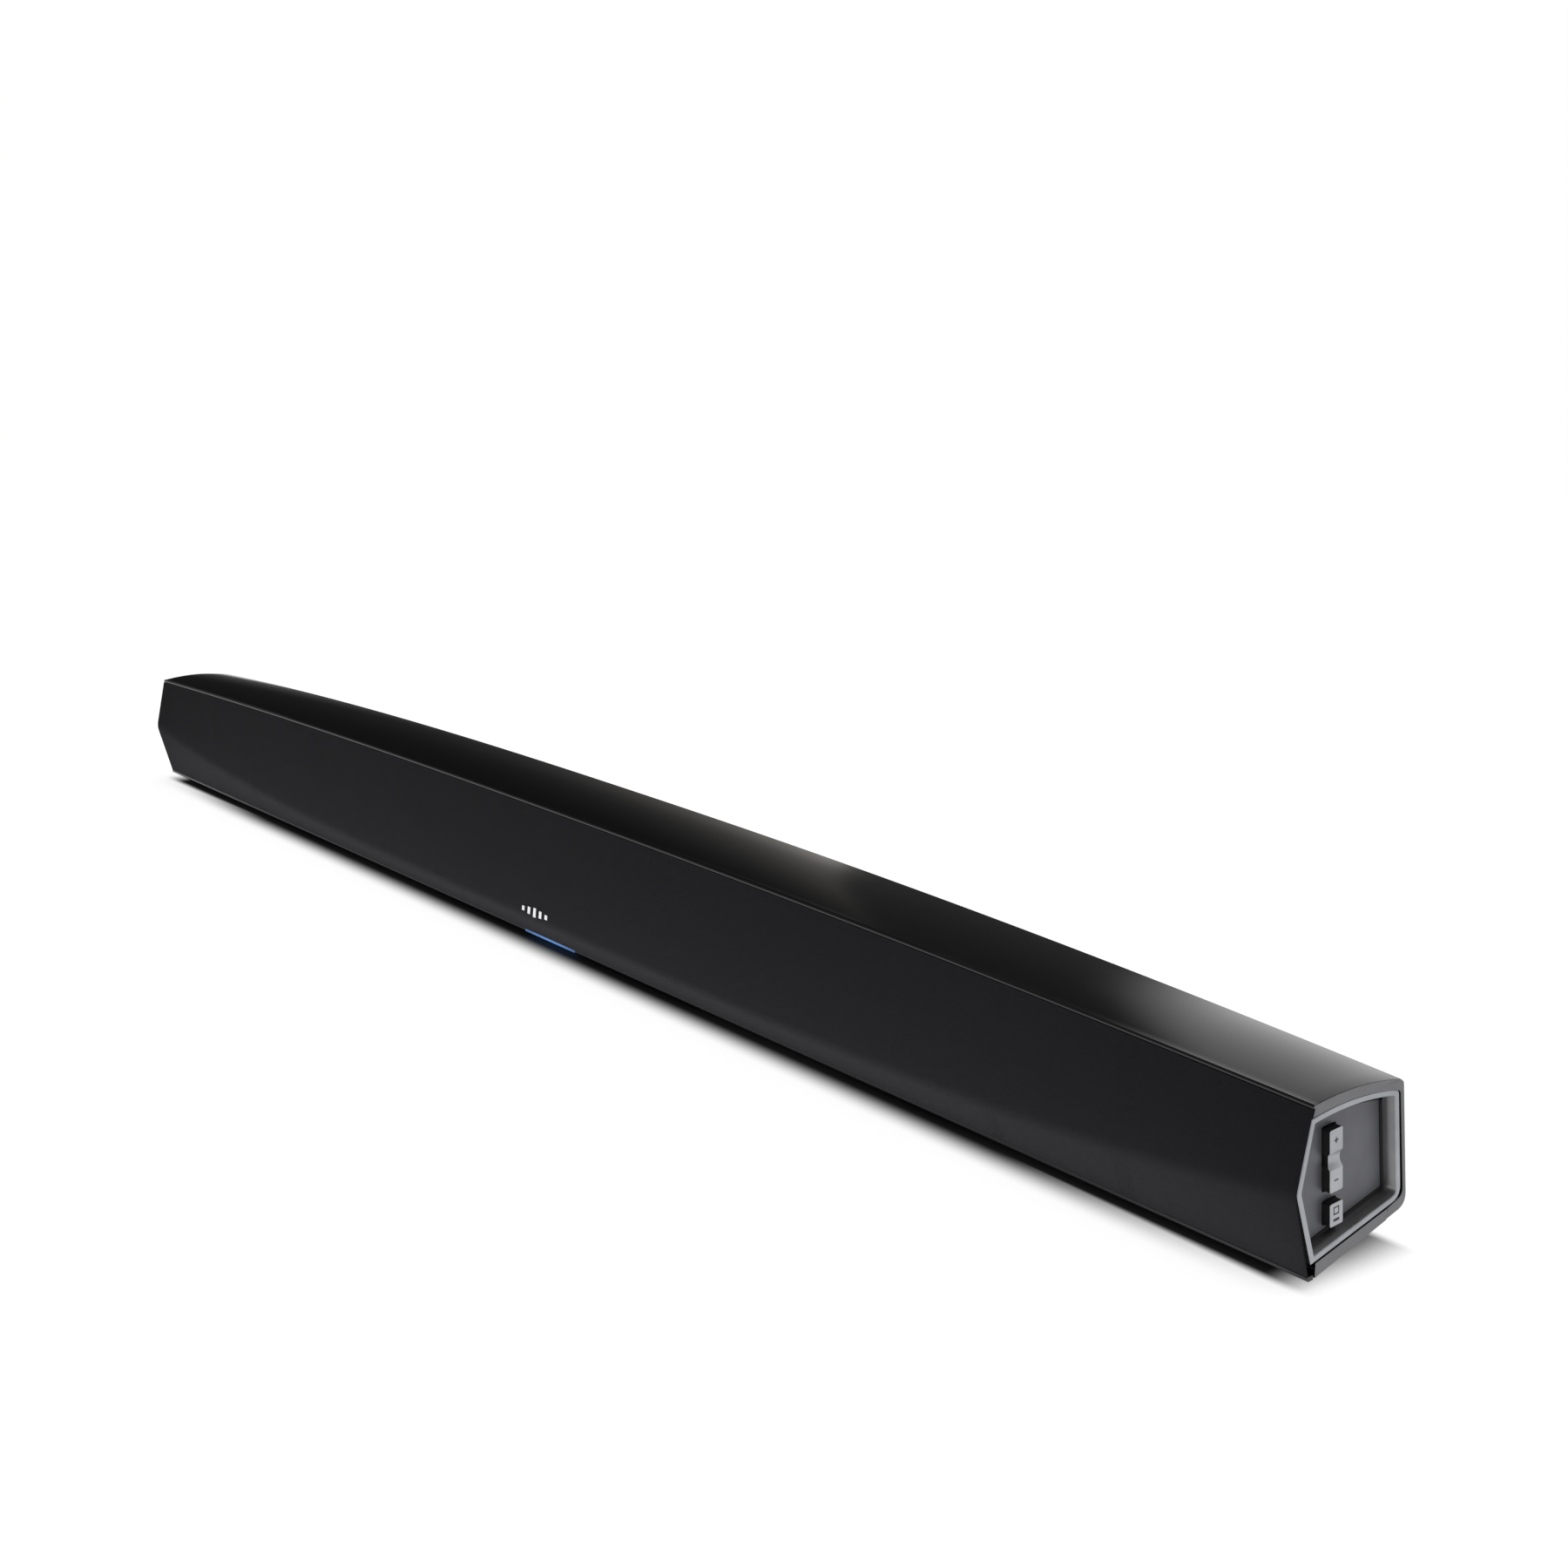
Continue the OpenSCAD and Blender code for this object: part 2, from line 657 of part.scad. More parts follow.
module tweeter_domes() {
  color("#8f9096") for (s = [-1, 1]) on_baffle(s * tweeter_x) rotate_extrude($fn = 72)
    polygon([
      [0, 1.2], [0, 0.9], [3.4, 0.4], [5.6, -0.9],
      [6.9, -3.9], [6.95, -1.2], [6.1, -0.4], [3.6, 0.75]
    ]);
}

// ---- Electronics ----
module main_board() {
  color("#20563a") translate([-152, 3.6, 27]) difference() {
    cube([196, 1.6, 40]);
    for (x = [4, 192], z = [4, 36])
      translate([x, -1, z]) rotate([-90, 0, 0]) cylinder(r = 1.6, h = 4, $fn = 32);
  }
  color("#101012") for (x = [-128, -56, -24]) translate([x, 1.8 + eps, 40]) cube([16, 1.8, 16]);
}

module heat_sink() {
  color("#8a8c90") translate([-104, -10, 34]) {
    translate([0, 11.7, 0]) cube([40, 1.9, 26]);
    for (i = [0 : 7]) translate([5.4 * i, 0, 0]) cube([1.6, 11.7 + eps, 26]);
  }
}

module power_board() {
  color("#6b5a24") translate([48, 3.6, 27]) difference() {
    cube([106, 1.6, 40]);
    for (x = [4, 102], z = [4, 36])
      translate([x, -1, z]) rotate([-90, 0, 0]) cylinder(r = 1.6, h = 4, $fn = 32);
  }
  color("#26262a") for (x = [118, 134])
    translate([x, 3.6 + eps, 48]) rotate([90, 0, 0]) cylinder(r = 6, h = 15, $fn = 48);
}

module power_transformer() {
  color("#c9a23a") translate([68, -12, 36]) difference() {
    cube([30, 15.5, 24]);
    translate([4, -1, 4]) cube([4, 20, 16]);
    translate([22, -1, 4]) cube([4, 20, 16]);
  }
}

module wireless_module() {
  color("#22333f") translate([-22, -6, 36]) cube([20, 1, 24]);
  color("#b9babd") translate([-20, -9, 38]) cube([14, 3 + eps, 14]);
  color("#d8d9dc") for (z = [37, 57]) translate([-13, -5 - eps, z]) cube([3, 6.8, 1.5]);
}

// ---- Rear connectors ----
socket_y = 13.8;
av_in_x = 30;
av_out_x = 6;
optical_x = -20;
aux_x = -44;
inlet_x = 74;
socket_z = 44;

bay_wall = 1.8;
bay_panel_t = 2;
module bay_rim() {
  color("#121214") difference() {
    translate([-bay_w / 2, bay_floor_y, bay_z0]) cube([bay_w, 12, bay_z1 - bay_z0]);
    translate([-bay_w / 2 + bay_wall, bay_floor_y - 1, bay_z0 + bay_wall])
      cube([bay_w - 2 * bay_wall, 30, bay_z1 - bay_z0 - 2 * bay_wall]);
  }
}

// Panel at the bottom of the bay, with a hole for each socket
module connector_panel() {
  color("#121214") difference() {
    translate([-bay_w / 2, bay_floor_y - bay_panel_t, bay_z0])
      cube([bay_w, bay_panel_t - eps, bay_z1 - bay_z0]);
    translate([inlet_x - 11.2, 0, socket_z - 6.4]) cube([22.4, 30, 12.8]);
    for (x = [av_in_x, av_out_x]) translate([x - 8.2, 0, socket_z - 3.8]) cube([16.4, 30, 7.6]);
    translate([optical_x - 6.2, 0, socket_z - 6.2]) cube([12.4, 30, 12.4]);
    translate([aux_x, 0, socket_z]) rotate([-90, 0, 0]) cylinder(r = 4.2, h = 30, $fn = 48);
  }
}

module power_inlet() {
  inlet_back = 5.3;
  color("#0c0c0e") translate([inlet_x, 0, socket_z]) difference() {
    translate([-11, inlet_back, -6.2]) cube([22, socket_y - inlet_back, 12.4]);
    for (s = [-1, 1])
      translate([s * 4, inlet_back + 1.5, 0]) rotate([-90, 0, 0]) cylinder(r = 4.2, h = 20, $fn = 64);
    translate([-4, inlet_back + 1.5, -4.2]) cube([8, 20, 8.4]);
  }
  color("#c0c1c4") for (s = [-1, 1])
    translate([inlet_x + s * 4, inlet_back + 1.5 - eps, socket_z])
      rotate([-90, 0, 0]) cylinder(r = 1.2, h = 5.5, $fn = 32);
}

module av_socket(x) {
  color("#b9babd") translate([x, 0, socket_z]) difference() {
    translate([-8, 5.3, -3.6]) cube([16, socket_y - 5.3, 7.2]);
    translate([-7.2, 6.4, -2.4]) cube([14.4, 20, 5.2]);
  }
  color("#141416") translate([x - 5.6, 6.4 - eps, socket_z - 0.6]) cube([11.2, 5.4, 1.2]);
}

module optical_socket() {
  color("#141416") translate([optical_x, 0, socket_z]) difference() {
    translate([-6, 5.3, -6]) cube([12, socket_y - 5.3, 12]);
    translate([-4.2, 7.5, -4.2]) cube([8.4, 20, 8.4]);
    translate([0, 5, 0]) rotate([-90, 0, 0]) cylinder(r = 1.1, h = 6, $fn = 32);
  }
}

module aux_socket() {
  color("#141416") translate([aux_x, 5.3, socket_z]) rotate([-90, 0, 0]) difference() {
    cylinder(r = 4, h = socket_y - 5.3, $fn = 64);
    translate([0, 0, 1.5]) cylinder(r = 1.8, h = 20, $fn = 48);
  }
}

// ---- Wall mount, feet, fasteners and wires ----
plate_y = 23.9;
plate_t = 1.5;
module keyhole_plates() {
  color("#a9abb0") for (s = [-1, 1])
    translate([s * keyhole_x, plate_y, keyhole_z]) rotate([-90, 0, 0]) difference() {
      translate([-13, -14, -plate_t]) cube([26, 28, plate_t]);
      translate([0, 5, -5]) cylinder(r = 4.75, h = 10, $fn = 64);
      translate([0, -6, -5]) cylinder(r = 2.4, h = 10, $fn = 48);
      translate([-2.4, -6, -5]) cube([4.8, 10, 10]);
    }
}

// Rubber foot: a wedge between the floor and the sloping bottom
front_foot_x = 130;
front_foot_y = [-12.5, -4.5];
rear_foot_x = [260, 320];
rear_foot_y = [11.5, 19.5];
module foot(x0, x1, y0, y1) {
  color("#0b0b0c") translate([x0, 0, 0]) rotate([90, 0, 90]) linear_extrude(x1 - x0)
    polygon([[y0 + 0.5, 0], [y0, 0.6], [y0, bottom_at(y0)], [y1, bottom_at(y1)], [y1, 0.6], [y1 - 0.5, 0]]);
}

module front_foot() {
  foot(-front_foot_x, front_foot_x, front_foot_y[0], front_foot_y[1]);
}
module rear_feet() {
  for (flip = [false, true])
    mirror_x(flip) foot(rear_foot_x[0], rear_foot_x[1], rear_foot_y[0], rear_foot_y[1]);
}

module base_screws() {
  color("#2b2b2e") for (s = [-1, 1], x = boss_x)
    translate([s * x, boss_y, bottom_at(boss_y) + 1.6]) difference() {
      union() {
        translate([0, 0, -1.9]) cylinder(r = 2.9, h = 1.9, $fn = 48);
        translate([0, 0, -eps]) cylinder(r = 1.5, h = 12, $fn = 32);
      }
      translate([-0.4, -2, -2.4]) cube([0.8, 4, 1.3]);
      translate([-2, -0.4, -2.4]) cube([4, 0.8, 1.3]);
    }
}

module driver_screw(r) {
  for (a = [45 : 90 : 315]) rotate([0, 0, a]) translate([r, 0, 0]) {
    translate([0, 0, flange_t]) cylinder(r = 1.4, h = 0.8, $fn = 32);
    translate([0, 0, 0.02]) cylinder(r = 0.8, h = flange_t, $fn = 24);
  }
}
module driver_screws() {
  color("#2b2b2e") {
    for (i = [1 : 4]) on_baffle(woofer_x(i)) driver_screw(20.9);
    for (s = [-1, 1]) on_baffle(s * tweeter_x) driver_screw(14.6);
  }
}

// Pair of wires from the boards to each side's drivers, through the chamber wall
module speaker_wires() {
  wire_r = 0.9;
  route = [
    [96, wire_y, 66], [150, wire_y, wire_z], [200, wire_y, wire_z],
    [330, wire_y, wire_z], [tweeter_x, wire_y, 54], [tweeter_x, 0, 46]
  ];
  color("#7a1f1c") for (flip = [false, true])
    mirror_x(flip) wire(rounded_route(route, 5, 4), wire_r);
}

upper_shell();
rear_wall(true);  // rear_wall_left
rear_wall_middle();
rear_wall(false);  // rear_wall_right
screw_posts();
base_plate();
grille_frame();
grille_cloth();
bottom_rail();
end_trim(true);  // end_trim_left
end_trim(false);  // end_trim_right
end_panel_left();
end_panel_right();
volume_rocker();
rocker_pin();
source_button();
button_bracket();
button_board();
tact_switches();
status_light_pipe();
light_board();
remote_receiver();
baffles();
chamber_walls();
woofer_basket(1);  // woofer_basket_1
woofer_basket(2);  // woofer_basket_2
woofer_basket(3);  // woofer_basket_3
woofer_basket(4);  // woofer_basket_4
woofer_motor(1);  // woofer_motor_1
woofer_motor(2);  // woofer_motor_2
woofer_motor(3);  // woofer_motor_3
woofer_motor(4);  // woofer_motor_4
woofer_cone(1);  // woofer_cone_1
woofer_cone(2);  // woofer_cone_2
woofer_cone(3);  // woofer_cone_3
woofer_cone(4);  // woofer_cone_4
woofer_surround(1);  // woofer_surround_1
woofer_surround(2);  // woofer_surround_2
woofer_surround(3);  // woofer_surround_3
woofer_surround(4);  // woofer_surround_4
tweeter_housings();
tweeter_domes();
main_board();
heat_sink();
power_board();
power_transformer();
wireless_module();
bay_rim();
connector_panel();
power_inlet();
av_socket(av_in_x);  // av_socket_in
av_socket(av_out_x);  // av_socket_out
optical_socket();
aux_socket();
keyhole_plates();
front_foot();
rear_feet();
base_screws();
driver_screws();
speaker_wires();
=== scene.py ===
import json
import math

import bmesh
import bpy
import numpy as np
from mathutils import Matrix, Vector

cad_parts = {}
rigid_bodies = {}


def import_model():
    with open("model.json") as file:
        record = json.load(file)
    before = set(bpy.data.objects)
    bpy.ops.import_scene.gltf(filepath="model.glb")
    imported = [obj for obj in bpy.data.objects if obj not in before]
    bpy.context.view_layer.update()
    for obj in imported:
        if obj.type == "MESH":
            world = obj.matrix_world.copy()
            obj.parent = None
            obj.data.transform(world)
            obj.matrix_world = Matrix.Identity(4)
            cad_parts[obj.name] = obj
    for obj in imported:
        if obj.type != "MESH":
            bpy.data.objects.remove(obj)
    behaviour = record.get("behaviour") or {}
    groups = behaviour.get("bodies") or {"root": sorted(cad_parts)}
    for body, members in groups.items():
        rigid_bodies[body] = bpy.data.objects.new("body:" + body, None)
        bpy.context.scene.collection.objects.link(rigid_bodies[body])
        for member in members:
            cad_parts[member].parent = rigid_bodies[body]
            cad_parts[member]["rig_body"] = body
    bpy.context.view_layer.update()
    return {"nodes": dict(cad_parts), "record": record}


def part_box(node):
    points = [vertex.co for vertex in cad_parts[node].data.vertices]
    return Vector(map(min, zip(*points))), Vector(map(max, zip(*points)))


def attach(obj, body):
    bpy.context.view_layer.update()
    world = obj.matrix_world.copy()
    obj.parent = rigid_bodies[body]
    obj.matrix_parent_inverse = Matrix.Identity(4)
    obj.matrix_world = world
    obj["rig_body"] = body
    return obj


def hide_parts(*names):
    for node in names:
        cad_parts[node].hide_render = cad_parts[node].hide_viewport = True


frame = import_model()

mm = 0.001
scene = bpy.context.scene
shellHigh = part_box("upper_shell")[1]
print("frame loaded:", len(frame["nodes"]), "nodes")


# Helpers for node trees

def newMaterial(name):
    mat = bpy.data.materials.new(name)
    mat.use_nodes = True
    return mat, mat.node_tree, mat.node_tree.nodes["Principled BSDF"]


def addNode(tree, kind, inputs=None, **settings):
    node = tree.nodes.new(kind)
    for key, value in settings.items():
        setattr(node, key, value)
    for key, value in (inputs or {}).items():
        if isinstance(value, bpy.types.NodeSocket):
            tree.links.new(value, node.inputs[key])
        else:
            node.inputs[key].default_value = value
    return node


def mathNode(tree, operation, a, b=0.0):
    return addNode(tree, "ShaderNodeMath", {0: a, 1: b}, operation=operation).outputs[0]


def times(tree, *factors):
    total = factors[0]
    for factor in factors[1:]:
        total = mathNode(tree, "MULTIPLY", total, factor)
    return total


def plus(tree, a, b):
    return mathNode(tree, "ADD", a, b)


def less(tree, a, b):
    return mathNode(tree, "SUBTRACT", a, b)


def rampNode(tree, factor, stops):
    node = addNode(tree, "ShaderNodeValToRGB", {"Fac": factor})
    for mark, (place, colour) in zip(node.color_ramp.elements, stops):
        mark.position = place
        mark.color = (*colour, 1)
    return node.outputs["Color"]


def linearStep(tree, value, low, high, start=0.0, end=1.0, curve="LINEAR"):
    return addNode(
        tree, "ShaderNodeMapRange",
        {"Value": value, "From Min": low, "From Max": high, "To Min": start, "To Max": end},
        interpolation_type=curve,
    ).outputs["Result"]


def smoothStep(tree, value, low, high, start=0.0, end=1.0):
    return linearStep(tree, value, low, high, start, end, "SMOOTHSTEP")


def rangeNode(tree, value, start, end):
    return linearStep(tree, value, 0.0, 1.0, start, end)


def noiseNode(tree, coords, scale, detail=3.0, rough=0.55):
    return addNode(
        tree, "ShaderNodeTexNoise",
        {"Vector": coords, "Scale": scale, "Detail": detail, "Roughness": rough},
    ).outputs["Fac"]


def bumpNode(tree, height, distance, strength):
    return addNode(
        tree, "ShaderNodeBump",
        {"Height": height, "Distance": distance, "Strength": strength},
    ).outputs["Normal"]


def objectCoords(tree):
    return tree.nodes.new("ShaderNodeTexCoord").outputs["Object"]


# Materials: each recipe has the grain, wear and sheen of one finish

def mouldedPlastic(name, colour, rough, spread=0.05, grain=0.02, grainSize=0.00035, coat=0.0, metal=0.0):
    mat, tree, shader = newMaterial(name)
    coords = objectCoords(tree)
    fine = noiseNode(tree, coords, 1 / grainSize, 2.0)
    broad = noiseNode(tree, coords, 60.0, 4.0)
    dark = tuple(c * 0.86 for c in colour)
    light = tuple(min(1.0, c * 1.12) for c in colour)
    tree.links.new(rampNode(tree, broad, [(0.3, dark), (0.7, light)]), shader.inputs["Base Color"])
    tree.links.new(rangeNode(tree, broad, rough - spread, rough + spread), shader.inputs["Roughness"])
    tree.links.new(bumpNode(tree, fine, grainSize, grain), shader.inputs["Normal"])
    shader.inputs["Coat Weight"].default_value = coat
    shader.inputs["Coat Roughness"].default_value = 0.25
    shader.inputs["Metallic"].default_value = metal
    return mat


def brushedMetal(name, colour, rough, direction=(1, 60, 60)):
    mat, tree, shader = newMaterial(name)
    drawn = addNode(tree, "ShaderNodeMapping", {"Vector": objectCoords(tree), "Scale": direction})
    streaks = noiseNode(tree, drawn.outputs[0], 120.0, 5.0, 0.7)
    dark = tuple(c * 0.8 for c in colour)
    tree.links.new(rampNode(tree, streaks, [(0.25, dark), (0.75, colour)]), shader.inputs["Base Color"])
    tree.links.new(rangeNode(tree, streaks, rough - 0.08, rough + 0.1), shader.inputs["Roughness"])
    tree.links.new(bumpNode(tree, streaks, 0.00005, 0.15), shader.inputs["Normal"])
    shader.inputs["Metallic"].default_value = 1.0
    return mat


clothLook = {
    "threadPitch": 0.00052,
    "warpColour": (0.0119, 0.0115, 0.0131),
    "weftColour": (0.0183, 0.0174, 0.0198),
    "roughness": 0.86,
    "sheen": 0.010,
    "sheenRoughness": 0.45,
    "specular": 0.06,
    "crossing": 0.45,
    "threadHeight": 0.00012,
    "slubStretch": 14,
    "slubScale": 260.0,
    "wearScale": 18.0,
}


def threadRound(tree, place):
    # The rounded height across one thread
    return mathNode(tree, "ABSOLUTE", mathNode(tree, "SINE", times(tree, place, math.pi)))


def wovenCloth(name):
    # Plain weave: threads go over and under on a chequer of the cloth's own length and width
    mat, tree, shader = newMaterial(name)
    uv = tree.nodes.new("ShaderNodeTexCoord").outputs["UV"]
    scale = 1 / clothLook["threadPitch"]
    grid = addNode(tree, "ShaderNodeMapping", {"Vector": uv, "Scale": (scale, scale, 1)}).outputs[0]
    split = addNode(tree, "ShaderNodeSeparateXYZ", {0: grid})
    warp = threadRound(tree, split.outputs["X"])
    weft = threadRound(tree, split.outputs["Y"])
    over = addNode(tree, "ShaderNodeTexChecker", {"Vector": grid, "Scale": 1.0}).outputs["Fac"]
    high = plus(tree, times(tree, warp, over), times(tree, weft, less(tree, 1.0, over)))
    low = times(tree, mathNode(tree, "MINIMUM", warp, weft), clothLook["crossing"])
    height = mathNode(tree, "MAXIMUM", high, low)
    drawn = addNode(tree, "ShaderNodeMapping", {"Vector": uv, "Scale": (1, clothLook["slubStretch"], 1)})
    slub = noiseNode(tree, drawn.outputs[0], clothLook["slubScale"], 4.0)
    tone = plus(tree, times(tree, slub, 0.55), times(tree, height, 0.45))
    colour = rampNode(tree, tone, [(0.15, clothLook["warpColour"]), (0.85, clothLook["weftColour"])])
    tree.links.new(colour, shader.inputs["Base Color"])
    wear = noiseNode(tree, uv, clothLook["wearScale"])
    rough = rangeNode(tree, wear, clothLook["roughness"] - 0.05, clothLook["roughness"] + 0.07)
    tree.links.new(rough, shader.inputs["Roughness"])
    tree.links.new(bumpNode(tree, height, clothLook["threadHeight"], 0.55), shader.inputs["Normal"])
    shader.inputs["Sheen Weight"].default_value = clothLook["sheen"]
    shader.inputs["Sheen Roughness"].default_value = clothLook["sheenRoughness"]
    shader.inputs["Specular IOR Level"].default_value = clothLook["specular"]
    return mat


lightLook = {
    "edgeColour": (0.035, 0.11, 0.28),
    "coreColour": (0.11, 0.26, 0.60),
    "strength": 0.52,
    "fadePower": 2.2,
    "endGlow": 0.02,
}


def litDiffuser(name):
    # Brightest in the middle of the strip, fading to both ends
    mat, tree, shader = newMaterial(name)
    low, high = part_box("status_light_pipe")
    split = addNode(tree, "ShaderNodeSeparateXYZ", {0: objectCoords(tree)})
    reach = (high.x - low.x) / 2
    far = mathNode(tree, "ABSOLUTE", mathNode(tree, "DIVIDE", split.outputs["X"], reach))
    fade = less(tree, 1.0, mathNode(tree, "POWER", far, lightLook["fadePower"]))
    fromMiddle = less(tree, split.outputs["Z"], (low.z + high.z) / 2)
    rise = mathNode(tree, "DIVIDE", fromMiddle, (high.z - low.z) / 2)
    core = times(tree, fade, less(tree, 1.0, mathNode(tree, "ABSOLUTE", rise)))
    glow = rampNode(tree, core, [(0.0, lightLook["edgeColour"]), (0.75, lightLook["coreColour"])])
    shader.inputs["Base Color"].default_value = (*lightLook["edgeColour"], 1)
    tree.links.new(glow, shader.inputs["Emission Color"])
    power = times(tree, mathNode(tree, "MAXIMUM", fade, lightLook["endGlow"]), lightLook["strength"])
    tree.links.new(power, shader.inputs["Emission Strength"])
    shader.inputs["Roughness"].default_value = 0.35
    return mat


def solderMask(name, colour):
    # Board lacquer with faint tracks under it
    mat, tree, shader = newMaterial(name)
    coords = objectCoords(tree)
    bricks = addNode(tree, "ShaderNodeTexBrick", {"Vector": coords, "Scale": 220.0, "Mortar Size": 0.03})
    tracks = bricks.outputs["Fac"]
    light = tuple(min(1.0, c * 1.8 + 0.01) for c in colour)
    tree.links.new(rampNode(tree, tracks, [(0.0, colour), (1.0, light)]), shader.inputs["Base Color"])
    tree.links.new(bumpNode(tree, tracks, 0.00005, 0.4), shader.inputs["Normal"])
    tree.links.new(rangeNode(tree, noiseNode(tree, coords, 300.0), 0.25, 0.4), shader.inputs["Roughness"])
    return mat


def ribbedRubber(name, colour):
    mat, tree, shader = newMaterial(name)
    coords = objectCoords(tree)
    dust = noiseNode(tree, coords, 900.0, 6.0)
    pale = tuple(c * 1.9 + 0.004 for c in colour)
    tree.links.new(rampNode(tree, dust, [(0.35, colour), (0.8, pale)]), shader.inputs["Base Color"])
    tree.links.new(bumpNode(tree, dust, 0.0001, 0.25), shader.inputs["Normal"])
    tree.links.new(rangeNode(tree, dust, 0.7, 0.9), shader.inputs["Roughness"])
    return mat


looks = {
    "shell_plastic": mouldedPlastic("satinBlackShell", (0.0028, 0.0028, 0.003), 0.10, 0.02, 0.004, 0.00030),
    # Lighter grey for the cut end faces: a painted highlight
    "end_rim": mouldedPlastic("satinEndRim", (0.16, 0.16, 0.168), 0.45, 0.04, 0.02, 0.00030),
    "grille_fabric": wovenCloth("grilleWeave"),
    "frame_plastic": mouldedPlastic("frameBlack", (0.008, 0.008, 0.009), 0.6),
    "silver_trim": mouldedPlastic("silverPaint", (0.36, 0.37, 0.395), 0.36, 0.04, 0.03, 0.00025, metal=0.5),
    # Darker grey for the trims' inner walls: painted shade and reflection on the silver trim
    "trim_inner": mouldedPlastic("trimWall", (0.20, 0.20, 0.205), 0.26, 0.03, 0.02, 0.00025, metal=0.85),
    # Black for the strip between end panel and trim: painted shadow
    "panel_seal": mouldedPlastic("sealBlack", (0.004, 0.004, 0.004), 0.7),
    "bay_texture": mouldedPlastic("bayTexture", (0.010, 0.010, 0.011), 0.58, 0.05, 0.35, 0.0006),
    "grey_panel": mouldedPlastic("greyPanel", (0.115, 0.117, 0.130), 0.40, 0.04, 0.05, 0.00030, metal=0.3),
    "silver_button": mouldedPlastic(
        "silverButton", (0.42, 0.425, 0.445), 0.34, 0.04, 0.02, 0.00020, metal=0.4,
    ),
    # Black for the buttons' sides: painted shade, the sides made black all round
    "button_side": mouldedPlastic("buttonSide", (0.004, 0.004, 0.0045), 0.5),
    "pin_steel": brushedMetal("bareSteel", (0.55, 0.55, 0.57), 0.3),
    "circuit_board": solderMask("boardGreen", (0.012, 0.09, 0.045)),
    "switch_plastic": mouldedPlastic("switchBlack", (0.02, 0.02, 0.022), 0.5),
    "light_diffuser": litDiffuser("blueDiffuser"),
    "receiver_lens": mouldedPlastic("receiverLens", (0.02, 0.006, 0.008), 0.12),
    "baffle_plastic": mouldedPlastic("baffleBlack", (0.02, 0.02, 0.021), 0.55),
    "basket_metal": mouldedPlastic("basketPaint", (0.03, 0.03, 0.032), 0.4, metal=0.4),
    "motor_metal": brushedMetal("motorPlate", (0.30, 0.30, 0.31), 0.4),
    "cone_paper": ribbedRubber("coatedPaper", (0.012, 0.012, 0.012)),
    "surround_rubber": ribbedRubber("surroundRubber", (0.01, 0.01, 0.01)),
    "tweeter_plastic": mouldedPlastic("tweeterBlack", (0.02, 0.02, 0.022), 0.5),
    "dome_fabric": ribbedRubber("coatedSilk", (0.12, 0.12, 0.13)),
    "sink_aluminium": brushedMetal("finAluminium", (0.55, 0.56, 0.58), 0.35, (60, 60, 1)),
    "transformer_wound": brushedMetal("windingTape", (0.55, 0.38, 0.08), 0.5, (60, 1, 60)),
    "module_metal": brushedMetal("shieldCan", (0.6, 0.6, 0.62), 0.3),
    "socket_plastic": mouldedPlastic("socketBlack", (0.012, 0.012, 0.013), 0.45),
    "socket_metal": brushedMetal("socketShell", (0.58, 0.58, 0.6), 0.28),
    "foot_rubber": ribbedRubber("footRubber", (0.008, 0.008, 0.008)),
    "screw_steel": brushedMetal("blackScrew", (0.05, 0.05, 0.055), 0.4),
    "wire_sleeve": ribbedRubber("wireSleeve", (0.18, 0.015, 0.012)),
}
slotOf = {entry["node"]: entry["material_slot"] for entry in frame["record"]["subparts"]}
bodyOf = {node: obj["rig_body"] for node, obj in frame["nodes"].items()}
for node, obj in frame["nodes"].items():  # every CAD node gets its finish
    obj.data.materials.clear()
    obj.data.materials.append(looks[slotOf[node]])
print("materials made:", len(looks))


# The cabinet's outline, in millimetres, as the casing follows it

cabinet = {
    "halfWidth": shellHigh.x / mm,
    "floorGap": 3.0,
    "endHeight": 65.7,
    "frontRise": 7.3,
    "rearRise": 12.5,
    "rearDrop": 1.4,
    "rearLift": 15.5,
    "frontCreaseY": -31.0,
    "rearLowY": 31.0,
    "creaseMiddle": 13.4,
    "creaseEnd": 34.4,
    "archPower": 2.31,
    "creasePower": 3.6,
    "crossArc": 2.3,
    "railHeight": 2.2,
    "lip": 1.1,
    "clothThickness": 0.6,
    "seamInset": 11.0,
}
topFrontY = cabinet["frontCreaseY"] + 7.0
bottomFrontY = cabinet["frontCreaseY"] + 9.5
topRearY = cabinet["rearLowY"] - 6.0
bottomFront = np.array([bottomFrontY, cabinet["floorGap"]])
bottomRear = np.array([cabinet["rearLowY"], cabinet["floorGap"] + cabinet["rearLift"]])
seamY = cabinet["rearLowY"] - cabinet["seamInset"]


def arch(x):
    return 1 - (abs(x) / cabinet["halfWidth"]) ** cabinet["archPower"]


def topFront(x):
    height = cabinet["floorGap"] + cabinet["endHeight"]
    return np.array([topFrontY, height + cabinet["frontRise"] * arch(x)])


def topRear(x):
    height = cabinet["floorGap"] + cabinet["endHeight"] - cabinet["rearDrop"]
    return np.array([topRearY, height + cabinet["rearRise"] * arch(x)])


def crease(x):
    span = cabinet["creaseEnd"] - cabinet["creaseMiddle"]
    rise = span * (abs(x) / cabinet["halfWidth"]) ** cabinet["creasePower"]
    return np.array([cabinet["frontCreaseY"], cabinet["floorGap"] + cabinet["creaseMiddle"] + rise])


def bottomAt(y):
    share = (y - bottomFrontY) / (cabinet["rearLowY"] - bottomFrontY)
    return cabinet["floorGap"] + cabinet["rearLift"] * share


def unit(v):
    return v / np.linalg.norm(v)


def mix(a, b, t):
    return a + (b - a) * t


def bend(a, p, b, radius, steps):
    start, end = p + radius * unit(a - p), p + radius * unit(b - p)
    return [mix(mix(start, p, t), mix(p, end, t), t) for t in np.linspace(0, 1, steps + 1)]


def arched(a, b, steps):
    up = np.array([0, 4 * cabinet["crossArc"]])
    return [mix(a, b, t) + up * t * (1 - t) for t in np.linspace(0, 1, steps + 1)[1:-1]]


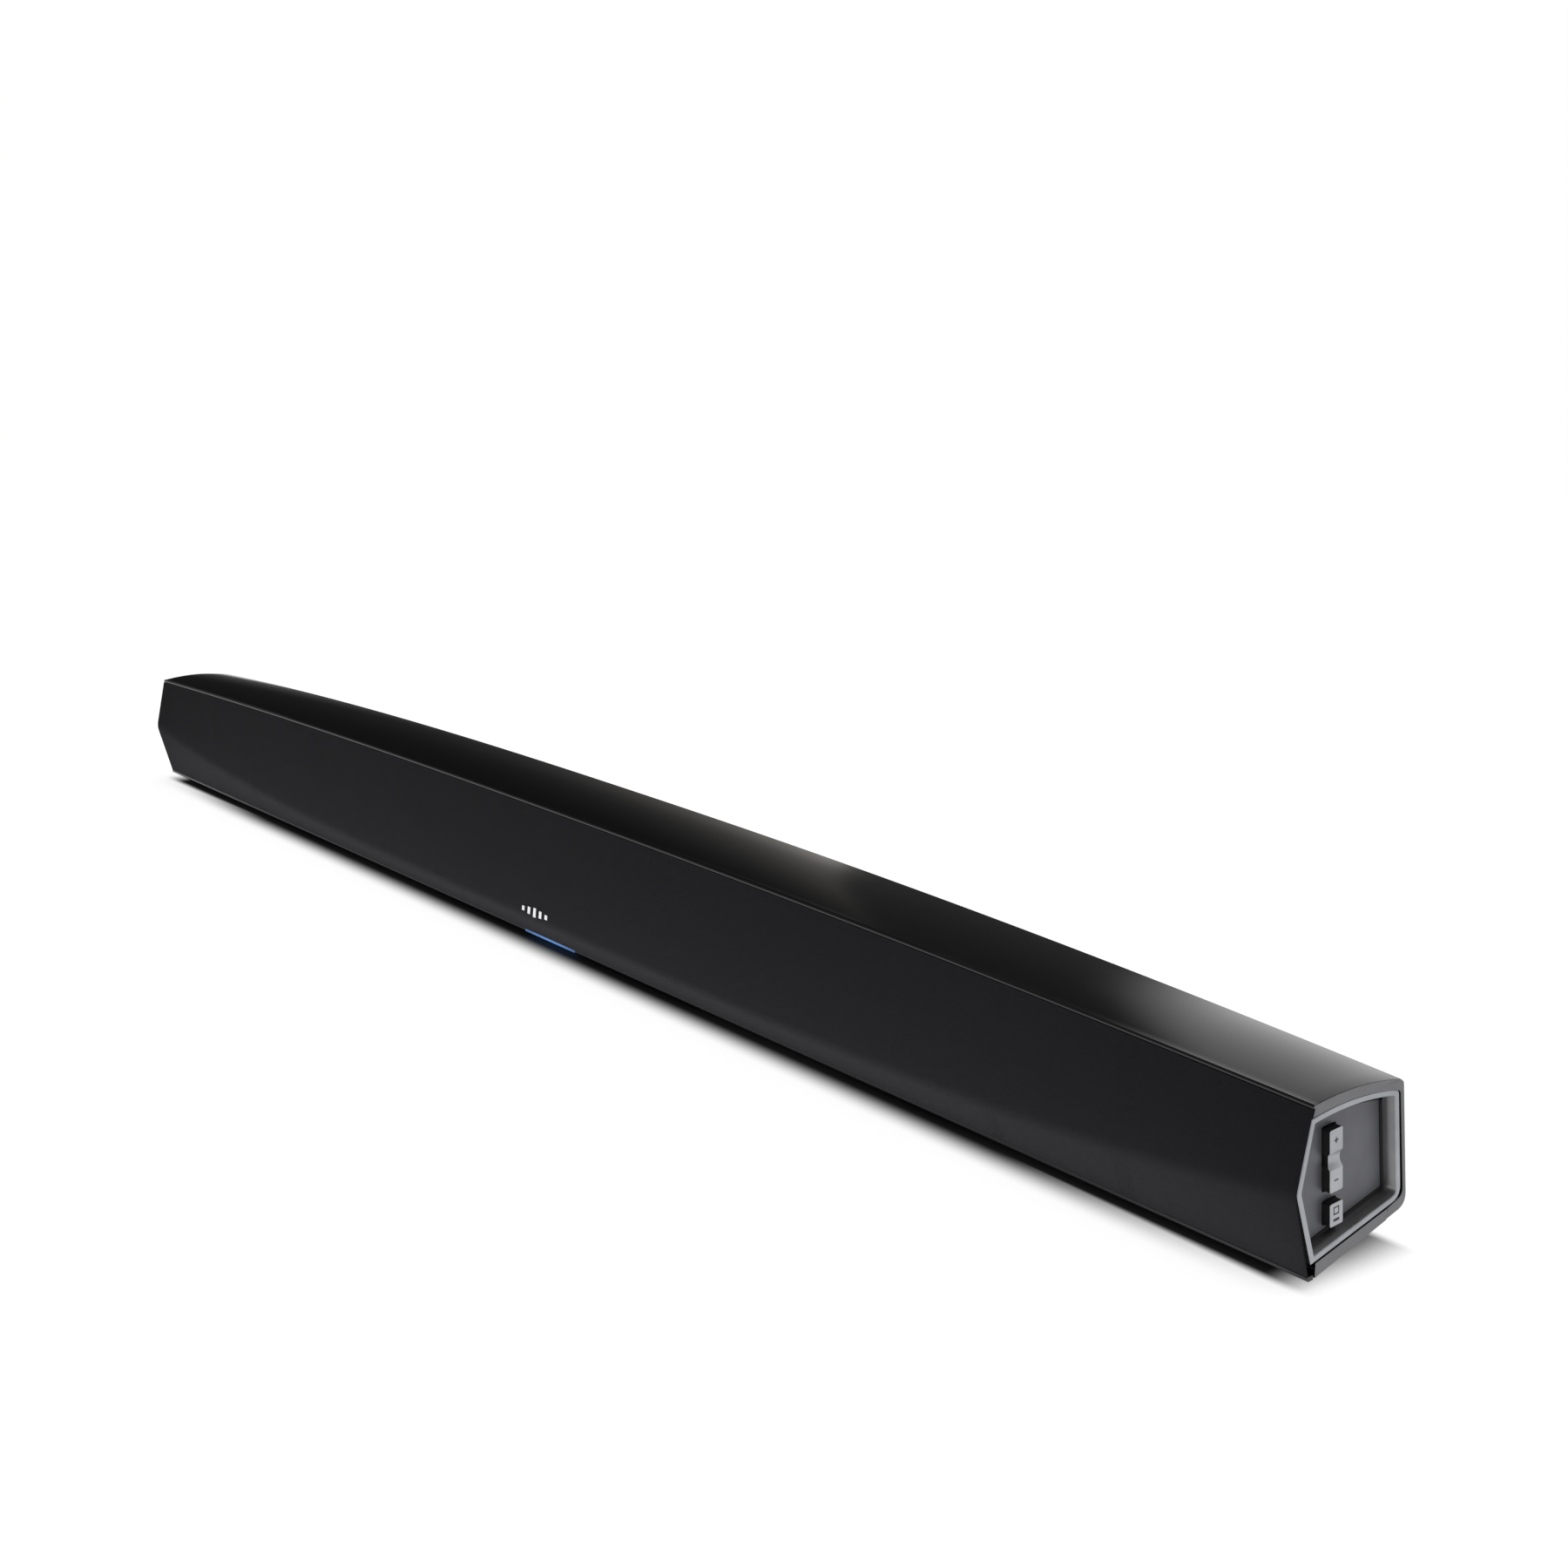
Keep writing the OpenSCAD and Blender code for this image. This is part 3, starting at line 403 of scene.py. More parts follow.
def insetLine(points, t):
    # A polyline moved to its right by t, with mitred corners
    points = np.array(points)
    run = np.diff(points, axis=0)
    run /= np.linalg.norm(run, axis=1)[:, None]
    sides = np.stack([run[:, 1], -run[:, 0]], 1)
    before, after = np.vstack([sides[:1], sides]), np.vstack([sides, sides[-1:]])
    dots = (before * after).sum(1)[:, None]
    return points + t * (before + after) / (1 + dots)


def stationsAlong(count, reach, edge):
    # Even steps along the bar, and three close ones that round each end
    middle = list(np.linspace(-reach + edge, reach - edge, count))
    ends = [(reach, edge * 0.75), (reach - edge * 0.3, edge * 0.2), (reach - edge * 0.62, edge * 0.04)]
    return [(-x, s) for x, s in ends] + [(x, 0.0) for x in middle] + [(x, s) for x, s in reversed(ends)]


def loft(name, rings, looped=False):
    # rings: lists of points in millimetres, all of one length; closed with flat ends
    bm = bmesh.new()
    rows = [[bm.verts.new(Vector(p) * mm) for p in ring] for ring in rings]
    count, size = len(rows), len(rows[0])
    for j in range(count if looped else count - 1):
        here, there = rows[j], rows[(j + 1) % count]
        for i in range(size):
            k = (i + 1) % size
            bm.faces.new((here[i], here[k], there[k], there[i]))
    if not looped:
        bm.faces.new(rows[0])
        bm.faces.new(rows[-1])
    bmesh.ops.recalc_face_normals(bm, faces=bm.faces)
    mesh = bpy.data.meshes.new(name)
    bm.to_mesh(mesh)
    bm.free()
    obj = bpy.data.objects.new(name, mesh)
    scene.collection.objects.link(obj)
    return obj


def smoothShade(obj, angle=32):
    obj.data.shade_smooth()
    obj.data.set_sharp_from_angle(angle=math.radians(angle))


def applyModifiers(obj):
    graph = bpy.context.evaluated_depsgraph_get()
    mesh = bpy.data.meshes.new_from_object(obj.evaluated_get(graph))
    obj.modifiers.clear()
    old = obj.data
    obj.data = mesh
    bpy.data.meshes.remove(old)
    mesh.name = obj.name


def finishPiece(obj, slotName, body, nodes=()):
    obj.data.materials.clear()
    obj.data.materials.append(looks[slotName])
    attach(obj, body)
    if nodes:
        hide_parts(*nodes)
    return obj


def insetRing(points, x, shrink):
    # The ring at station x, drawn in by shrink to round the end
    pts = insetLine(points, shrink) if shrink else np.array(points)
    return [(x, p[0], p[1]) for p in pts]


def paintEndHighlights(obj):
    # The cut faces at both ends get a lighter grey satin: a painted highlight standing in for the light
    # these end faces catch
    obj.data.materials.append(looks["end_rim"])
    reach = cabinet["halfWidth"] * mm
    for face in obj.data.polygons:
        if abs(face.normal.x) > 0.6 and abs(face.center.x) > reach - 0.0012:
            face.material_index = 1
            face.use_smooth = abs(face.normal.x) < 0.995


# Rounded slots in a row, made by geometry nodes and used to cut the rear wall

ventRow = {
    "count": 12, "pitch": 6.0, "firstX": 110.0, "height": 48.0,
    "width": 2.4, "length": 22.0, "depth": 24.0, "behindEdge": 4.0,
}
slotSizes = {
    "Count": "NodeSocketInt", "Pitch": "NodeSocketFloat", "Width": "NodeSocketFloat",
    "Length": "NodeSocketFloat", "Depth": "NodeSocketFloat", "Start": "NodeSocketVector",
    "Finish": "NodeSocketMaterial",
}


def slotRowTree():
    tree = bpy.data.node_groups.new("slotRow", "GeometryNodeTree")
    for label, kind in slotSizes.items():
        tree.interface.new_socket(label, in_out="INPUT", socket_type=kind)
    tree.interface.new_socket("Geometry", in_out="OUTPUT", socket_type="NodeSocketGeometry")
    sizes = tree.nodes.new("NodeGroupInput")
    result = tree.nodes.new("NodeGroupOutput")
    step = addNode(tree, "ShaderNodeCombineXYZ", {"X": sizes.outputs["Pitch"]})
    line = addNode(
        tree, "GeometryNodeMeshLine",
        {"Count": sizes.outputs["Count"], "Start Location": sizes.outputs["Start"],
         "Offset": step.outputs[0]},
    )
    outline = addNode(
        tree, "GeometryNodeCurvePrimitiveQuadrilateral",
        {"Width": sizes.outputs["Width"], "Height": sizes.outputs["Length"]},
    )
    radius = times(tree, sizes.outputs["Width"], 0.49)
    rounded = addNode(
        tree, "GeometryNodeFilletCurve",
        {"Curve": outline.outputs[0], "Count": 8, "Radius": radius}, mode="POLY",
    )
    filled = addNode(tree, "GeometryNodeFillCurve", {"Curve": rounded.outputs[0]}, mode="NGONS")
    drawn = addNode(
        tree, "GeometryNodeExtrudeMesh",
        {"Mesh": filled.outputs[0], "Offset": (0.0, 0.0, 1.0),
         "Offset Scale": sizes.outputs["Depth"], "Individual": False},
    )
    cap = addNode(tree, "GeometryNodeFlipFaces", {"Mesh": filled.outputs[0]})
    joined = addNode(tree, "GeometryNodeJoinGeometry")
    tree.links.new(cap.outputs[0], joined.inputs[0])
    tree.links.new(drawn.outputs["Mesh"], joined.inputs[0])
    closed = addNode(tree, "GeometryNodeMergeByDistance", {"Geometry": joined.outputs[0], "Distance": 1e-6})
    back = addNode(tree, "ShaderNodeCombineXYZ", {"Y": times(tree, sizes.outputs["Depth"], 0.5)})
    placed = addNode(
        tree, "GeometryNodeTransform",
        {"Geometry": closed.outputs[0], "Translation": back.outputs[0], "Rotation": (math.pi / 2, 0, 0)},
    )
    spread = addNode(
        tree, "GeometryNodeInstanceOnPoints",
        {"Points": line.outputs["Mesh"], "Instance": placed.outputs[0]},
    )
    real = addNode(tree, "GeometryNodeRealizeInstances", {"Geometry": spread.outputs["Instances"]})
    painted = addNode(
        tree, "GeometryNodeSetMaterial",
        {"Geometry": real.outputs["Geometry"], "Material": sizes.outputs["Finish"]},
    )
    tree.links.new(painted.outputs["Geometry"], result.inputs["Geometry"])
    return tree


def runTree(name, tree, values):
    # A plain mesh object from a geometry node tree and its named inputs
    obj = bpy.data.objects.new(name, bpy.data.meshes.new(name))
    scene.collection.objects.link(obj)
    modifier = obj.modifiers.new("nodes", "NODES")
    modifier.node_group = tree
    for item in tree.interface.items_tree:
        if item.in_out == "INPUT" and item.name in values:
            modifier[item.identifier] = values[item.name]
    obj.update_tag()
    bpy.context.view_layer.update()
    applyModifiers(obj)
    return obj


def boxCutter(name, low, high, radius, steps=6):
    # A box along Y whose XZ outline has rounded corners, in millimetres
    outline = []
    for sx, sz, turn in ((1, 1, 0), (-1, 1, 90), (-1, -1, 180), (1, -1, 270)):
        cx = (high[0] if sx > 0 else low[0]) - sx * radius
        cz = (high[2] if sz > 0 else low[2]) - sz * radius
        for k in range(steps + 1):
            a = math.radians(turn + 90 * k / steps)
            outline.append((cx + radius * math.cos(a), cz + radius * math.sin(a)))
    return loft(name, [[(x, y, z) for x, z in outline] for y in (low[1], high[1])])


def cutWith(obj, cutters):
    for cutter in cutters:
        modifier = obj.modifiers.new("cut", "BOOLEAN")
        modifier.operation = "DIFFERENCE"
        modifier.solver = "EXACT"
        modifier.object = cutter
    applyModifiers(obj)
    for cutter in cutters:
        bpy.data.objects.remove(cutter)


# Wrap-round shell: arched top, rear wall and rounded rear foot

shellNodes = ["upper_shell", "rear_wall_left", "rear_wall_middle", "rear_wall_right"]
shellWalls = {
    "top": 3.5, "rear": 1.7, "low": 3.4, "lipDepth": 3.0,
    "lipRound": 0.7, "rearRound": 2.2, "footRound": 5.0, "edgeRound": 0.6, "stations": 150,
}
# The wall is thicker round each end trim
endRim = {"depth": 7.0, "top": 4.4, "low": 4.2, "lipDepth": (0.75, -0.05)}
rearCuts = {
    "outTo": 44.0, "bayFrom": 12.0, "bayRound": 2.2, "keyholeFrom": 14.0, "keyholeInset": 13.0,
    "keyholeHalf": 8.0, "keyholeLow": 37.0, "keyholeHigh": 63.0, "keyholeRound": 7.9,
}


def shellOuter(x):
    front, rear = topFront(x), topRear(x)
    peak = front + np.array([0, 2 * cabinet["crossArc"]])
    under = front + np.array([0, -cabinet["lip"]])
    lipRound = bend(under, front, peak + np.array([9.0, 0.0]), shellWalls["lipRound"], 4)
    return (
        lipRound + arched(front, rear, 28)
        + bend(peak, rear, bottomRear, shellWalls["rearRound"], 8)
        + bend(rear, bottomRear, bottomFront, shellWalls["footRound"], 10)
        + [np.array([seamY, bottomAt(seamY)])]
    )


def shellInner(x):
    atEnd = abs(x) > cabinet["halfWidth"] - endRim["depth"]
    top, low = (endRim["top"], endRim["low"]) if atEnd else (shellWalls["top"], shellWalls["low"])
    lipStart, lipEnd = endRim["lipDepth"] if atEnd else (shellWalls["lipDepth"],) * 2
    corner = topFront(x)
    front = corner + np.array([lipEnd, -top])
    rear = topRear(x) + np.array([-shellWalls["rear"], -top + 0.6])
    foot = bottomRear + np.array([-2.4, low])
    seam = np.array([seamY, bottomAt(seamY) + low])
    lip = [corner + np.array([0.05, -cabinet["lip"]]), corner + np.array([lipStart, -cabinet["lip"]])]
    peak = front + np.array([0, 2 * cabinet["crossArc"]])
    corners = bend(peak, rear, foot, 1.5, 4) + bend(rear, foot, seam, 3.0, 5)
    return lip + [front] + arched(front, rear, 12) + corners + [seam]


def makeShell():
    rings = []
    for x, shrink in stationsAlong(shellWalls["stations"], cabinet["halfWidth"], shellWalls["edgeRound"]):
        outer = insetRing(shellOuter(x), x, shrink)
        inner = insetRing(shellInner(x), x, -shrink * 0.5)
        rings.append(outer + inner[::-1])
    shell = loft("shellSkin", rings)
    outTo = rearCuts["outTo"]
    bayLow, bayHigh = (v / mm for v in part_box("bay_rim"))
    bayStart, bayEnd = (bayLow.x, rearCuts["bayFrom"], bayLow.z), (bayHigh.x, outTo, bayHigh.z)
    cutters = [boxCutter("bayCut", bayStart, bayEnd, rearCuts["bayRound"])]
    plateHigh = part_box("keyhole_plates")[1] / mm
    half = rearCuts["keyholeHalf"]
    for side in (-1, 1):
        middle = side * (plateHigh.x - rearCuts["keyholeInset"])
        holeStart = (middle - half, rearCuts["keyholeFrom"], rearCuts["keyholeLow"])
        holeEnd = (middle + half, outTo, rearCuts["keyholeHigh"])
        cutters.append(boxCutter("keyholeCut", holeStart, holeEnd, rearCuts["keyholeRound"], 10))
        start = side * ventRow["firstX"] - (ventRow["count"] - 1) * ventRow["pitch"] * (side < 0)
        cutters.append(runTree("ventCut", slotRow, {
            "Count": ventRow["count"], "Pitch": ventRow["pitch"] * mm, "Width": ventRow["width"] * mm,
            "Length": ventRow["length"] * mm, "Depth": ventRow["depth"] * mm,
            "Start": (start * mm, (topRearY + ventRow["behindEdge"]) * mm, ventRow["height"] * mm),
            "Finish": looks["shell_plastic"],
        }))
    cutWith(shell, cutters)
    smoothShade(shell, 30)
    finishPiece(shell, "shell_plastic", "cabinet", shellNodes)
    paintEndHighlights(shell)


slotRow = slotRowTree()
makeShell()
print("shell lofted and cut")


# Stretched grille cloth with its curved crease

clothCut = {
    "stations": 240, "acrossTop": 10, "acrossLow": 4, "creaseSteps": 8,
    "creaseRadius": 3.4, "edgeRound": 0.45, "proud": 0.02, "shy": 0.05,
}


def frontLine(x):
    top = topFront(x) + np.array([-0.3, -cabinet["lip"] - 0.2])
    fold = crease(x)
    foot = mix(bottomFront, fold, cabinet["railHeight"] / (fold[1] - cabinet["floorGap"]))
    bentPart = bend(top, fold, foot, clothCut["creaseRadius"], clothCut["creaseSteps"])
    upper = [mix(top, bentPart[0], t) for t in np.linspace(0, 1, clothCut["acrossTop"] + 1)[:-1]]
    lower = [mix(bentPart[-1], foot, t) for t in np.linspace(0, 1, clothCut["acrossLow"] + 1)[1:]]
    return upper + bentPart + lower


def makeCloth():
    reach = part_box("grille_cloth")[1].x / mm
    rings, lengths = [], []
    for x, shrink in stationsAlong(clothCut["stations"], reach, clothCut["edgeRound"]):
        outer = insetLine(frontLine(x), -clothCut["proud"] - shrink)
        inner = insetLine(frontLine(x), -cabinet["clothThickness"] + clothCut["shy"])
        run = np.concatenate([[0], np.cumsum(np.linalg.norm(np.diff(outer, axis=0), axis=1))])
        rings.append([(x, p[0], p[1]) for p in outer] + [(x, p[0], p[1]) for p in inner[::-1]])
        lengths.append(np.concatenate([run, run[::-1]]))
    cloth = loft("grilleCloth", rings)
    place = {}
    for ring, runs in zip(rings, lengths):
        for point, run in zip(ring, runs):
            place[tuple(round(c, 3) for c in point)] = (point[0] * mm, run * mm)
    layer = cloth.data.uv_layers.new(name="weave")
    for loop in cloth.data.loops:
        co = cloth.data.vertices[loop.vertex_index].co / mm
        layer.data[loop.index].uv = place.get(tuple(round(c, 3) for c in co), (co.x * mm, co.z * mm))
    smoothShade(cloth, 50)
    finishPiece(cloth, "grille_fabric", "cabinet", ["grille_cloth"])
    middle = insetLine(frontLine(0), 0)


makeCloth()
print("grille cloth stretched")


# Smaller hard parts: clean copies of the CAD shapes with small rounded edges

edgeRounds = {
    "base_plate": 0.20,
    "bottom_rail": 0.25,
    "end_trim_left": 0.18,
    "end_trim_right": 0.18,
    "end_panel_left": 0.15,
    "end_panel_right": 0.18,
    "volume_rocker": 0.28,
    "source_button": 0.28,
    "bay_rim": 0.30,
    "connector_panel": 0.20,
    "power_inlet": 0.25,
    "av_socket_in": 0.12,
    "av_socket_out": 0.12,
    "optical_socket": 0.20,
    "aux_socket": 0.25,
    "keyhole_plates": 0.18,
    "front_foot": 0.5,
    "rear_feet": 0.5,
    "status_light_pipe": 0.2,
}


def paintShadedSides(obj, lookName, limit):
    # A second colour on the faces that look along the end rather than out of it: painted shade on the
    # buttons' sides and on the trims' inner walls
    obj.data.materials.append(looks[lookName])
    for face in obj.data.polygons:
        if abs(face.normal.x) < limit:
            face.material_index = 1


def roundedCopy(node, radius):
    source = frame["nodes"][node]
    bm = bmesh.new()
    bm.from_mesh(source.data)
    bmesh.ops.remove_doubles(bm, verts=bm.verts, dist=1e-6)
    flat = math.radians(0.6)
    bmesh.ops.dissolve_limit(bm, angle_limit=flat, verts=bm.verts, edges=bm.edges)
    name = "".join(w.capitalize() if i else w for i, w in enumerate(node.split("_"))) + "Body"
    mesh = bpy.data.meshes.new(name)
    bm.to_mesh(mesh)
    bm.free()
    obj = bpy.data.objects.new(name, mesh)
    scene.collection.objects.link(obj)
    modifier = obj.modifiers.new("edges", "BEVEL")
    modifier.width = radius * mm
    modifier.segments = 3
    modifier.limit_method = "ANGLE"
    modifier.angle_limit = math.radians(28)
    modifier.miter_outer = "MITER_ARC"
    applyModifiers(obj)
    smoothShade(obj, 34)
    for face in obj.data.polygons:
        face.use_smooth = max(abs(c) for c in face.normal) < 0.9999 or len(face.vertices) == 3
    return finishPiece(obj, slotOf[node], bodyOf[node], [node])


# Which parts get painted shade on their sides, and how far a face may turn towards the end to get it
sideShadePaint = {
    "volume_rocker": ("button_side", 0.35),
    "source_button": ("button_side", 0.35),
    "end_trim_left": ("trim_inner", 0.6),
    "end_trim_right": ("trim_inner", 0.6),
}
for node, radius in edgeRounds.items():
    copy = roundedCopy(node, radius)
    if node in sideShadePaint:
        paintShadedSides(copy, *sideShadePaint[node])
    # The base plate's end faces get the same painted highlight
    if node == "base_plate":
        paintEndHighlights(copy)
    if node in ("bay_rim", "connector_panel"):
        copy.data.materials[0] = looks["bay_texture"]
print("small parts rounded:", len(edgeRounds))


# Painted shadow: a thin black strip between each end panel and its trim, standing in for the shadow in the
# gap there

panelSeal = {"from": 3.9, "to": 5.1, "thick": 0.35, "sunk": 0.02}
# How far the end recess's corners lie from the cabinet's own
recessCorners = {
    "topFront": (-0.3, -4.8), "topRear": (-2.2, -3.4), "lowRear": (-3.2, 3.4),
    "lowFront": (1.2, 6.2), "fold": (1.1, 0.0),
}


def insetLoop(points, t):
    # A closed polygon moved inwards by t, with mitred corners
    points = np.array(points)
    run = np.roll(points, -1, axis=0) - points
    run /= np.linalg.norm(run, axis=1)[:, None]
    after = np.stack([run[:, 1], -run[:, 0]], 1)
    before = np.roll(after, 1, axis=0)
    return points + t * (before + after) / (1 + (before * after).sum(1)[:, None])


def endLoop():
    x = cabinet["halfWidth"]
    front = topFront(x) + np.array(recessCorners["topFront"])
    rear = topRear(x) + np.array(recessCorners["topRear"])
    lowRear = bottomRear + np.array(recessCorners["lowRear"])
    lowFront = bottomFront + np.array(recessCorners["lowFront"])
    fold = crease(x) + np.array(recessCorners["fold"])
    peak = front + np.array([0, 2 * cabinet["crossArc"]])
    return (
        [front] + arched(front, rear, 12)
        + bend(peak, rear, lowRear, 1.8, 4) + bend(rear, lowRear, lowFront, 5, 5)
        + [lowFront] + bend(lowFront, fold, front, 1.5, 3)
    )


def makePanelGapShadows():
    for side, node in ((1, "end_panel_right"), (-1, "end_panel_left")):
        low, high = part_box(node)
        face = (high.x if side > 0 else -low.x) / mm
        inner, outer = panelSeal["from"], panelSeal["to"]
        sunk, thick = panelSeal["sunk"], panelSeal["thick"]
        rings = []
        for inset, out in ((inner, sunk), (inner, thick), (outer, thick), (outer, sunk)):
            rings.append([(side * (face + out), p[0], p[1]) for p in insetLoop(endLoop(), inset)])
        gapShadow = loft("panelSeal" + ("Right" if side > 0 else "Left"), rings, looped=True)
        finishPiece(gapShadow, "grey_panel", "cabinet")
        gapShadow.data.materials[0] = looks["panel_seal"]


makePanelGapShadows()
print("panel seals laid")


# Dark ink in the button marks, and a small generic mark on the cloth

buttonMarks = {
    "lean": 5.0,
    "top": 0.12,
    "base": 0.27,
    "ink": (0.018, 0.018, 0.02),
    # Each stroke is two corners, as y, z, y, z from the button's middle
    "volume_rocker": ((-1.1, -7.85, 1.1, -7.35), (-1.1, 7.35, 1.1, 7.85), (-0.25, 6.5, 0.25, 8.7)),
    "source_button": (
        (-1.5, 2.4, 1.5, 2.85), (-1.5, -0.2, 1.5, 0.25), (-1.5, -0.2, -1.05, 2.85),
        (1.05, -0.2, 1.5, 2.85), (-1.6, -2.7, 1.6, -1.7),
    ),
}
looks["mark_ink"] = mouldedPlastic("markInk", buttonMarks["ink"], 0.55)


def plateBox(bm, low, high, turn=None, origin=(0, 0, 0)):
    made = bmesh.ops.create_cube(bm, size=1.0)["verts"]
    for v in made:
        v.co = Vector([mix(low[i], high[i], v.co[i] + 0.5) for i in range(3)])
        if turn:
            v.co = turn @ v.co
        v.co = (v.co + Vector(origin)) * mm


def boxesPiece(name, boxes, slotName, body, turn=None, origin=(0, 0, 0), look=None):
    bm = bmesh.new()
    for low, high in boxes:
        plateBox(bm, low, high, turn, origin)
    mesh = bpy.data.meshes.new(name)
    bm.to_mesh(mesh)
    bm.free()
    obj = bpy.data.objects.new(name, mesh)
    scene.collection.objects.link(obj)
    finishPiece(obj, slotName, body)
    if look:
        obj.data.materials[0] = look
    return obj


def makeButtonMarks():
    turn = Matrix.Rotation(math.radians(buttonMarks["lean"]), 3, "X")
    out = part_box("volume_rocker")[1].x / mm
    base, top = out - buttonMarks["base"], out - buttonMarks["top"]
    for node, name in (("volume_rocker", "volumeMarks"), ("source_button", "sourceMarks")):
        low, high = (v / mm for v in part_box(node))
        middle = (0, (low.y + high.y) / 2, (low.z + high.z) / 2)
        strokes = [((base, y0, z0), (top, y1, z1)) for y0, z0, y1, z1 in buttonMarks[node]]
        boxesPiece(name, strokes, "silver_button", bodyOf[node], turn, middle, looks["mark_ink"])


frontMark = {
    "bars": (2.4, 3.7, 4.8, 3.7, 2.4), "pitch": 5.6, "width": 2.3, "height": 20.6,
    "thick": 0.18, "sunk": 0.25, "proud": 0.05,
}


def makeFrontMark():
    # Five plain level bars printed on the cloth, just over the crease
    looks["mark_print"] = mouldedPlastic("printedMark", (0.85, 0.85, 0.86), 0.45)
    boxes = []
    zMiddle = frontMark["height"]
    top, fold = topFront(0), crease(0)
    lean = (top[0] - fold[0]) / (top[1] - fold[1])
    face = fold[0] + (zMiddle - fold[1]) * lean - frontMark["proud"]
    half = frontMark["width"] / 2
    for i, tall in enumerate(frontMark["bars"]):
        x = (i - (len(frontMark["bars"]) - 1) / 2) * frontMark["pitch"]
        low, high = (x - half, -frontMark["thick"], -tall / 2), (x + half, frontMark["sunk"], tall / 2)
        boxes.append((low, high))
    turn = Matrix.Rotation(-math.atan(lean), 3, "X")
    place = (0, face, zMiddle)
    boxesPiece("frontMark", boxes, "silver_button", "cabinet", turn, place, looks["mark_print"])


makeButtonMarks()
makeFrontMark()
print("marks made")


# Floor, light and camera

studio = {
    "floorColour": (0.14, 0.14, 0.14),
    "floorGlow": 0.93,
    "floorReach": 2.6,
    # Widths and ends of the shadows painted on the floor
    "shadowWidth": 0.018,
    "contactWidth": 0.007,
    "contactEnds": (-0.02, 0.008),
    "bounceReach": (0.03, 0.12),
    "bounceEnd": 0.01,
    "bounce": 1.9,
    "shadowEnds": (0.34, 0.52),
    "white": 1.0,
    "ambient": 0.12,
}
# What the gloss sees: bright drapes to the right, a dark card behind, and a fading glow left of it
drapes = {
    "cardBow": 0.0103,
    "brightBow": 0.0082,
    "brightEdge": (129.8, 125.6),
    "brightFar": (40.0, 62.0),
    "brightHeight": (5.0, 36.0),
    "brightLevel": (1.22, 0.72),
    "brightTop": (60.0, 38.0),
    "cardEdge": (137.7, 138.1),
    "glowFade": 3.4,
    "glowLevel": ((8.0, 0.72), (16.0, 0.42), (24.0, 0.24), (34.0, 0.10)),
    "glowTint": (1.0, 0.95, 0.90, 1),
    "tintGain": 8.0,
    "rimEdge": (147.0, 151.0),
    "dark": 0.018,
    "cardLevel": 0.045,
    "horizonLevel": 0.07,
    "horizonHeight": 7.0,
    "frontHeight": (55.0, 10.0),
    "frontLevel": (0.05, 0.22),
}


def makeFloor():
    bm = bmesh.new()
    bmesh.ops.create_circle(bm, cap_ends=True, segments=96, radius=studio["floorReach"])
    mesh = bpy.data.meshes.new("floor")
    bm.to_mesh(mesh)
    bm.free()
    floor = bpy.data.objects.new("floor", mesh)
    scene.collection.objects.link(floor)
    mat, tree, shader = newMaterial("paleFloor")
    shader.inputs["Base Color"].default_value = (*studio["floorColour"], 1)
    shader.inputs["Roughness"].default_value = 0.9
    shader.inputs["Specular IOR Level"].default_value = 0.0
    shader.inputs["Emission Color"].default_value = (1, 1, 1, 1)
    place = addNode(tree, "ShaderNodeSeparateXYZ", {0: objectCoords(tree)})
    before = less(tree, bottomFrontY * mm, place.outputs["Y"])
    behind = less(tree, place.outputs["Y"], cabinet["rearLowY"] * mm)
    away = mathNode(tree, "MAXIMUM", before, behind)
    along = mathNode(tree, "ABSOLUTE", place.outputs["X"])
    reach = cabinet["halfWidth"] * mm
    # Painted shadow on the floor: its glow is dimmed close in front of and behind the bar, broad along the
    # middle and fading towards the ends, with a narrow contact shadow under the whole length
    broad = times(
        tree, smoothStep(tree, away, 0.0, studio["shadowWidth"], 1.0, 0.0),
        smoothStep(tree, along, *studio["shadowEnds"], 1.0, 0.0),
    )
    contactShadowStart, contactShadowEnd = (reach + shift for shift in studio["contactEnds"])
    contactShadow = times(
        tree, smoothStep(tree, away, 0.0, studio["contactWidth"], 1.0, 0.0),
        smoothStep(tree, along, contactShadowStart, contactShadowEnd, 1.0, 0.0),
    )
    lit = less(tree, 1.0, mathNode(tree, "MAXIMUM", broad, contactShadow))
    # Rough surfaces get more light from the floor close in front of the bar than the eye sees there
    near = times(
        tree, smoothStep(tree, before, *studio["bounceReach"], 1.0, 0.0),
        smoothStep(tree, along, reach, reach + studio["bounceEnd"], 1.0, 0.0),
        smoothStep(tree, before, 0.0, studio["contactWidth"]), studio["bounce"],
    )
    given = plus(tree, less(tree, 1.0, contactShadow), near)
    path = addNode(tree, "ShaderNodeLightPath").outputs
    seen = mathNode(tree, "MAXIMUM", path["Is Camera Ray"], path["Is Glossy Ray"])
    level = plus(tree, given, times(tree, seen, less(tree, lit, given)))
    tree.links.new(times(tree, level, studio["floorGlow"]), shader.inputs["Emission Strength"])
    mesh.materials.append(mat)


